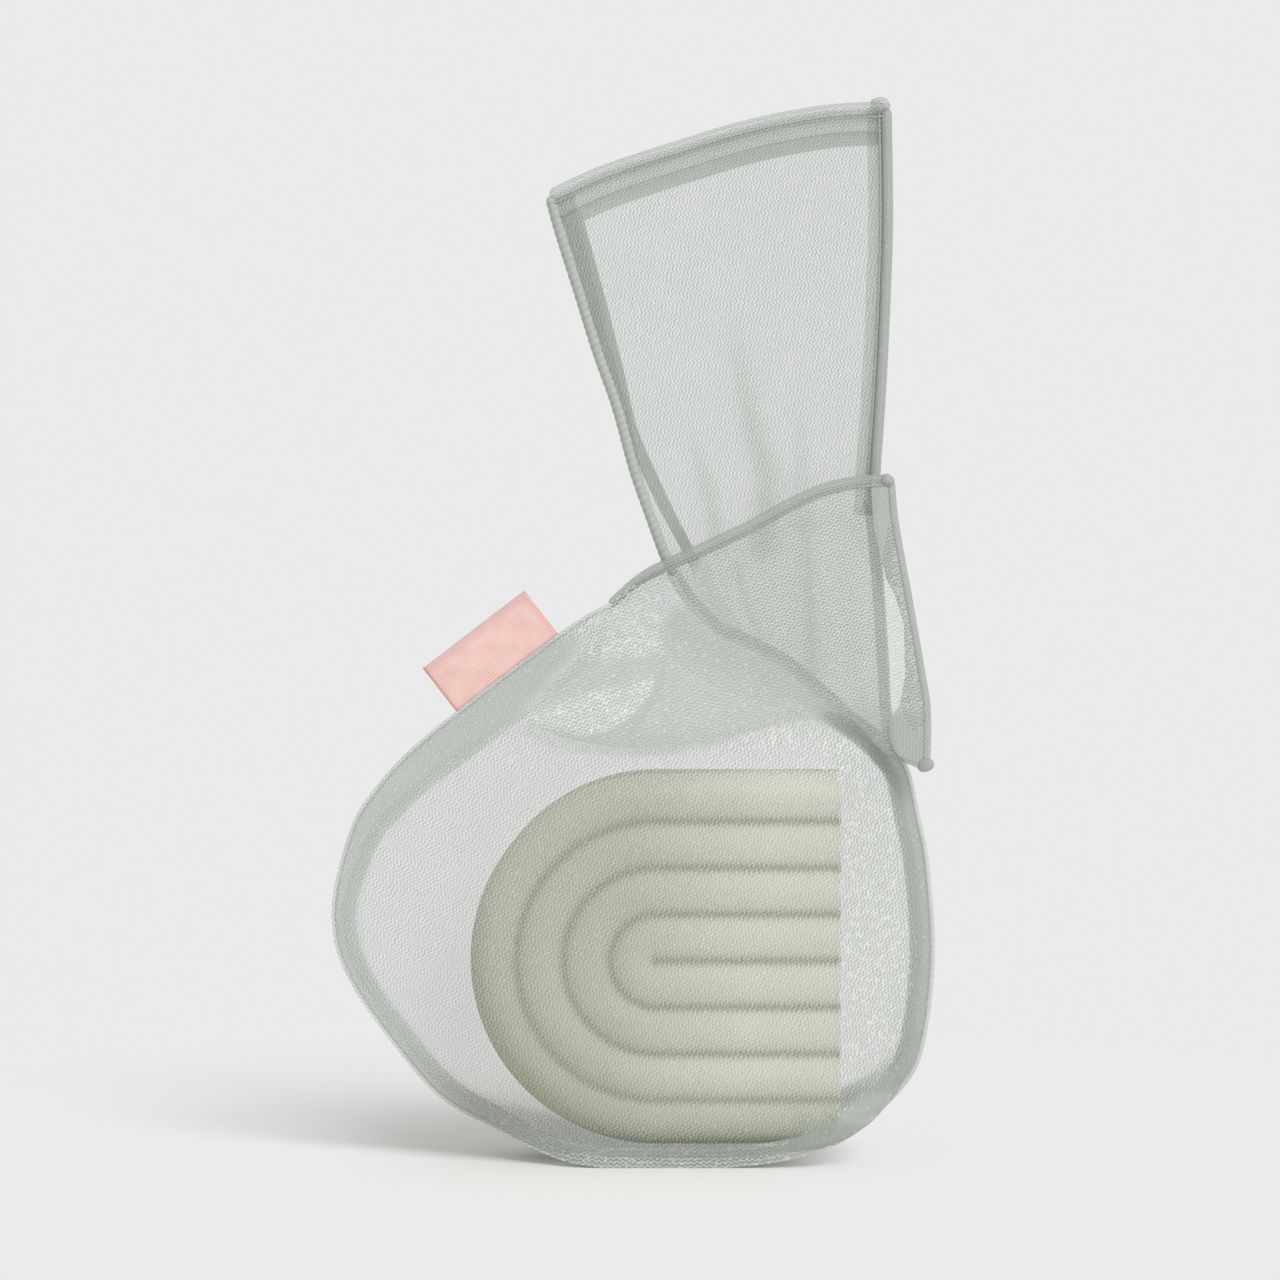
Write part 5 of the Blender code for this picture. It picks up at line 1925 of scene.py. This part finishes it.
    def edge(self, name: str, points: Outline, radius: float, finish: Finish, inset: float = 0.0,
             forward: float = 0.0, node: str = "", **more: float) -> Piece:
        """A roll or a line of thread along one edge.

        Args:
            name: The piece's name.
            points: The edge's points in X and Z, in millimetres.
            radius: The roll's radius in millimetres.
            finish: The roll's finish.
            inset: How far to the line's left the roll lies, in millimetres.
            forward: How far before the cloth's middle it lies, in millimetres.
            node: The CAD node that it replaces, if any.
            **more: Further values of the roll, as ThreadRoll names them.

        Returns:
            The new object.
        """
        line = smooth_line(in_mm(points), self.EDGE_STEPS)
        line = line + left_normals(line) * inset * MM
        piece = ThreadRoll(lift(line, self.lean(line) - forward * MM), radius * MM, **more).build(name)
        return self.finished(piece, finish, *([node] if node else []))

    def band(self, name: str, points: Outline, inset: float, width: tuple[float, float], plies: float,
             side: int, behind: float, fade: float = 0.0) -> Piece:
        """A band of folded cloth beside an edge, seen through the mesh.

        Args:
            name: The piece's name.
            points: The edge's points in X and Z, in millimetres.
            inset: How far from the edge the band starts, in millimetres.
            width: How wide the band is at its two ends, in millimetres.
            plies: How many plies thick it is.
            side: 1 where it lies to the line's left, -1 to its right.
            behind: How far behind the cloth's middle it lies, in millimetres.
            fade: How long its ends take to thin out, in millimetres.

        Returns:
            The new object.
        """
        line = smooth_line(in_mm(points), self.EDGE_STEPS)
        line = line + left_normals(line) * side * inset * MM
        wide = np.linspace(*width, len(line)) * MM
        made = ClothBand(line, wide, plies, depth=self.lean(line) + behind * MM, side=side, fade=fade * MM)
        return self.finished(made.build(name), Finish.HEM)

    def edges(self) -> list[Piece]:
        """The rolls, the knob and the lines of stitches on the tie's edges.

        Returns:
            The new objects.
        """
        left, top, right = self.LEFT[1:], self.TOP, self.RIGHT_ABOVE
        seams = {"relief": 0.5, "slant": 0.0, "sides": 8, "rib": 0.9 * MM}
        stitch, tie, hem = Finish.STITCH, Finish.TIE, Finish.HEM
        return [
            self.edge("standing_left_roll", left, 0.95, Finish.THREAD, node="rear_tie_left_seam"),
            self.edge("standing_right_roll", right, 1.0, hem, node="rear_tie_right_seam", relief=0.04,
                      plies=5.0),
            self.edge("standing_top_roll", top, 1.2, tie, node="rear_tie_top_hem", relief=0.03, plies=1.6),
            self.edge("standing_knob", self.KNOB, 1.45, tie, plies=2.2),
            self.edge("standing_hem_stitch", top, 0.2, stitch, inset=-1.35, forward=0.7, **seams),
            self.edge("standing_hem_line", top, 0.12, stitch, inset=-3.9, forward=0.5, **seams),
            self.edge("standing_right_stitch", right, 0.22, stitch, inset=1.2, forward=0.6, **seams),
        ]

    def bands(self) -> list[Piece]:
        """The folded hems and seam allowances inside the tie.

        Returns:
            The new objects.
        """
        return [
            self.band("standing_left_band", self.INNER, -0.6, (3.6, 1.8), 11.0, -1, 0.2, fade=5),
            self.band("standing_left_strip", self.LEFT[4:], 0.9, (0.2, 3.2), 3.4, -1, 0.1, fade=2),
            self.band("standing_right_band", self.RIGHT_ABOVE, 0.9, (2.4, 2.4), 2.3, 1, 0.2),
            self.band("standing_right_tail", self.RIGHT[:6], -0.4, (2.1, 2.1), 4.2, 1, -0.4),
            self.band("standing_hem_outer", self.TOP, 1.0, (2.9, 2.9), 2.3, -1, 0.2),
            self.band("standing_hem_inner", self.TOP, 3.8, (2.6, 2.6), 4.5, -1, 0.3),
            self.band("standing_crossing_edge", self.CROSSING, -1.2, (2.4, 2.4), 2.6, 1, -0.6),
        ]

    def build(self) -> None:
        """Make every piece of the tie."""
        front, back = self.ply("standing_front_ply", -1), self.ply("standing_back_ply", 1)
        self.finished(front, Finish.TIE, "rear_tie_wrap", "rear_tie_front_ply")
        self.finished(back, Finish.TIE, "rear_tie_back_ply")
        self.edges() + self.bands()


# The label


@dataclass(frozen=True)
class WovenLabel:
    """The bare satin tape, folded over and caught in the left seam."""

    wardrobe: Wardrobe
    width: float = 22.3 * MM
    reach: float = 9.4 * MM
    gap: float = 0.25 * MM
    tape: float = 0.3 * MM
    curl: float = 0.35 * MM
    curl_turn: float = 5.2
    curl_start: float = 0.4
    # The painted shade on the fold grows over this stretch towards the fold, to this share.
    mauve: Climb = Climb(7.4, 2.0)
    painted_fold_shade_share: float = 0.42

    FOOT = [(-31.2, 78.6), (-13.2, 92.4)]

    def path(self) -> Points:
        """The strip's way from the seam out to its fold and back.

        Returns:
            Points of distance from the seam and depth.
        """
        turn = np.linspace(-math.pi / 2, math.pi / 2, 9)
        tip = self.reach - self.gap
        out = [(t, -self.gap) for t in np.linspace(0, tip, 16)[:-1]]
        fold = [(tip + self.gap * math.cos(a), self.gap * math.sin(a)) for a in turn]
        home = [(t, self.gap) for t in np.linspace(tip, 0, 16)[1:]]
        return np.array(out + fold + home)

    def build(self) -> None:
        """Make the tape as one strip and place it on its body."""
        low, high = in_mm(self.FOOT)
        run = (high - low) / np.linalg.norm(high - low)
        out = np.array([-run[1], run[0]])
        path = self.path()
        across = np.linspace(-0.5, 0.5, 41)
        flat = (low + high) / 2 + across[None, :, None] * self.width * run + path[:, None, :1] * out
        bow = np.sin(across * self.curl_turn + self.curl_start)
        curl = self.curl * bow[None] * (path[:, :1] / self.reach) ** 2
        grid = np.stack([flat[..., 0], path[:, None, 1] + curl, flat[..., 1]], axis=2)
        grain = np.stack(np.broadcast_arrays(across[None] * self.width, reach_along(path)[:, None]), axis=2)
        # Painted shade on the fold, kept on the tape's points.
        painted_fold_shade_weight = self.mauve.at(path[:, 0]) * self.painted_fold_shade_share
        piece = grid_piece("woven_tape_label", grid, np.broadcast_to(painted_fold_shade_weight[:, None], grid.shape[:2]), grain)
        thick = piece.modifiers.new("thickness", "SOLIDIFY")
        thick.thickness = self.tape
        thick.offset = 0.0
        self.wardrobe.dress(piece, Finish.SATIN)
        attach(piece, "label")
        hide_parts("woven_label")
        log.info("made %s", piece.name)


# The studio


@dataclass(frozen=True)
class Studio:
    """Pale floor, plain soft light and the camera."""

    paper: Colour = from_screen(234, 234, 234)
    floor_shade: Colour = (0.82, 0.815, 0.81)
    floor_size: float = 40.0
    shadow_reach: float = 0.042
    shadow_fade: float = 0.115
    painted_glow_right_edge: float = 0.020
    painted_glow_right_fade: float = 0.022
    painted_glow_right_share: float = 0.85
    aim: tuple[float, float, float] = (1.0 * MM, 0.0, 91.2 * MM)
    distance: float = 1.6
    elevation: float = math.radians(6.0)
    frame_width: float = 223.1 * MM
    sensor: float = 36.0
    sky: float = 0.67
    sky_tint: Colour = (1.02, 1.0, 0.985)
    sun: float = 1.72
    sun_tint: Colour = (0.985, 1.0, 1.015)
    sun_from: tuple[float, float, float] = (0.46, -0.55, 0.70)
    sun_width: float = math.radians(23)
    see_through_layers: int = 32

    def floor(self) -> None:
        """A wide floor that keeps the bag's shadow near it and fades into the plain backdrop; the glow it
        fades into is painted light, which also takes out the shadow to the right of the bag.
        """
        bpy.ops.mesh.primitive_plane_add(size=self.floor_size, location=(0, 0, 0))
        plane = bpy.context.active_object
        plane.name = "studio_floor"
        n = Nodes("studio_paper")
        n.shade({"Base Color": self.floor_shade, "Roughness": 1.0, "Specular IOR Level": 0.0})
        glow = n.tree.nodes.new("ShaderNodeEmission")
        n.put(glow.inputs["Color"], self.paper)
        place = n.tree.nodes.new("ShaderNodeTexCoord").outputs["Object"]
        far = n.tree.nodes.new("ShaderNodeVectorMath")
        far.operation = "LENGTH"
        n.put(far.inputs[0], place)
        # Painted light: from this reach out the floor glows as plain paper over the bag's shadow.
        share = n.over(n.minus(far.outputs["Value"], self.shadow_reach), self.shadow_fade, clamp=True)
        # Painted light: the floor glows to the right of the bag, over its shadow there.
        right = n.over(n.minus(n.parts(place)[0], self.painted_glow_right_edge), self.painted_glow_right_fade, clamp=True)
        share = n.math("MAXIMUM", share, n.times(right, self.painted_glow_right_share))
        blend = n.tree.nodes.new("ShaderNodeMixShader")
        n.put(blend.inputs[0], share)
        n.put(blend.inputs[1], n.shader.outputs[0])
        n.put(blend.inputs[2], glow.outputs[0])
        n.put(n.tree.nodes["Material Output"].inputs[0], blend.outputs[0])
        plane.data.materials.append(n.material)

    def backdrop(self) -> None:
        """An even sky that lights the bag and looks as plain as paper."""
        world = bpy.data.worlds.new("studio_world")
        bpy.context.scene.world = world
        world.use_nodes = True
        tree = world.node_tree
        sky = tree.nodes["Background"]
        sky.inputs["Color"].default_value = (*self.sky_tint, 1.0)
        sky.inputs["Strength"].default_value = self.sky
        plain = tree.nodes.new("ShaderNodeBackground")
        plain.inputs["Color"].default_value = (*self.paper, 1.0)
        rays = tree.nodes.new("ShaderNodeLightPath")
        seen = rays.outputs["Is Camera Ray"]
        for kind in ("Is Glossy Ray", "Is Transmission Ray"):
            either = tree.nodes.new("ShaderNodeMath")
            either.operation = "MAXIMUM"
            tree.links.new(seen, either.inputs[0])
            tree.links.new(rays.outputs[kind], either.inputs[1])
            seen = either.outputs[0]
        blend = tree.nodes.new("ShaderNodeMixShader")
        tree.links.new(seen, blend.inputs[0])
        tree.links.new(sky.outputs[0], blend.inputs[1])
        tree.links.new(plain.outputs[0], blend.inputs[2])
        tree.links.new(blend.outputs[0], tree.nodes["World Output"].inputs[0])

    def lamp(self) -> None:
        """One soft lamp from the right, above and in front."""
        lamp = bpy.data.lights.new("studio_key", "SUN")
        lamp.energy = self.sun
        lamp.color = self.sun_tint
        lamp.angle = self.sun_width
        key = bpy.data.objects.new("studio_key", lamp)
        key.rotation_euler = Vector(self.sun_from).to_track_quat("Z", "Y").to_euler()
        bpy.context.scene.collection.objects.link(key)

    def camera(self) -> None:
        """A long lens, nearly level with the bag."""
        lens = bpy.data.cameras.new("studio_camera")
        lens.sensor_width = self.sensor
        lens.lens = self.sensor * self.distance / self.frame_width
        lens.clip_end = 100.0
        camera = bpy.data.objects.new("studio_camera", lens)
        away = Vector((0.0, -math.cos(self.elevation), math.sin(self.elevation)))
        camera.location = Vector(self.aim) + away * self.distance
        camera.rotation_euler = away.to_track_quat("Z", "Y").to_euler()
        bpy.context.scene.collection.objects.link(camera)
        bpy.context.scene.camera = camera

    def build(self) -> None:
        """Set up the studio and the plain view."""
        self.floor()
        self.backdrop()
        self.lamp()
        self.camera()
        scene = bpy.context.scene
        scene.view_settings.view_transform = "Standard"
        scene.cycles.transparent_max_bounces = self.see_through_layers
        log.info("set up the studio")


def main() -> None:
    """Build the studio and every part of the bag, in order."""
    logging.basicConfig(level=logging.INFO, format="%(name)s: %(message)s")
    measures = BagMeasures()
    wardrobe = Wardrobe(measures)
    Studio().build()
    ConditionerBar(measures, wardrobe).build()
    pouch = Pouch(measures, wardrobe)
    pouch.build()
    StandingTie(measures, wardrobe).build()
    CrossingTie(pouch, wardrobe).build()
    WovenLabel(wardrobe).build()
    log.info("wrote the sizes")


if __name__ == "__main__":
    main()
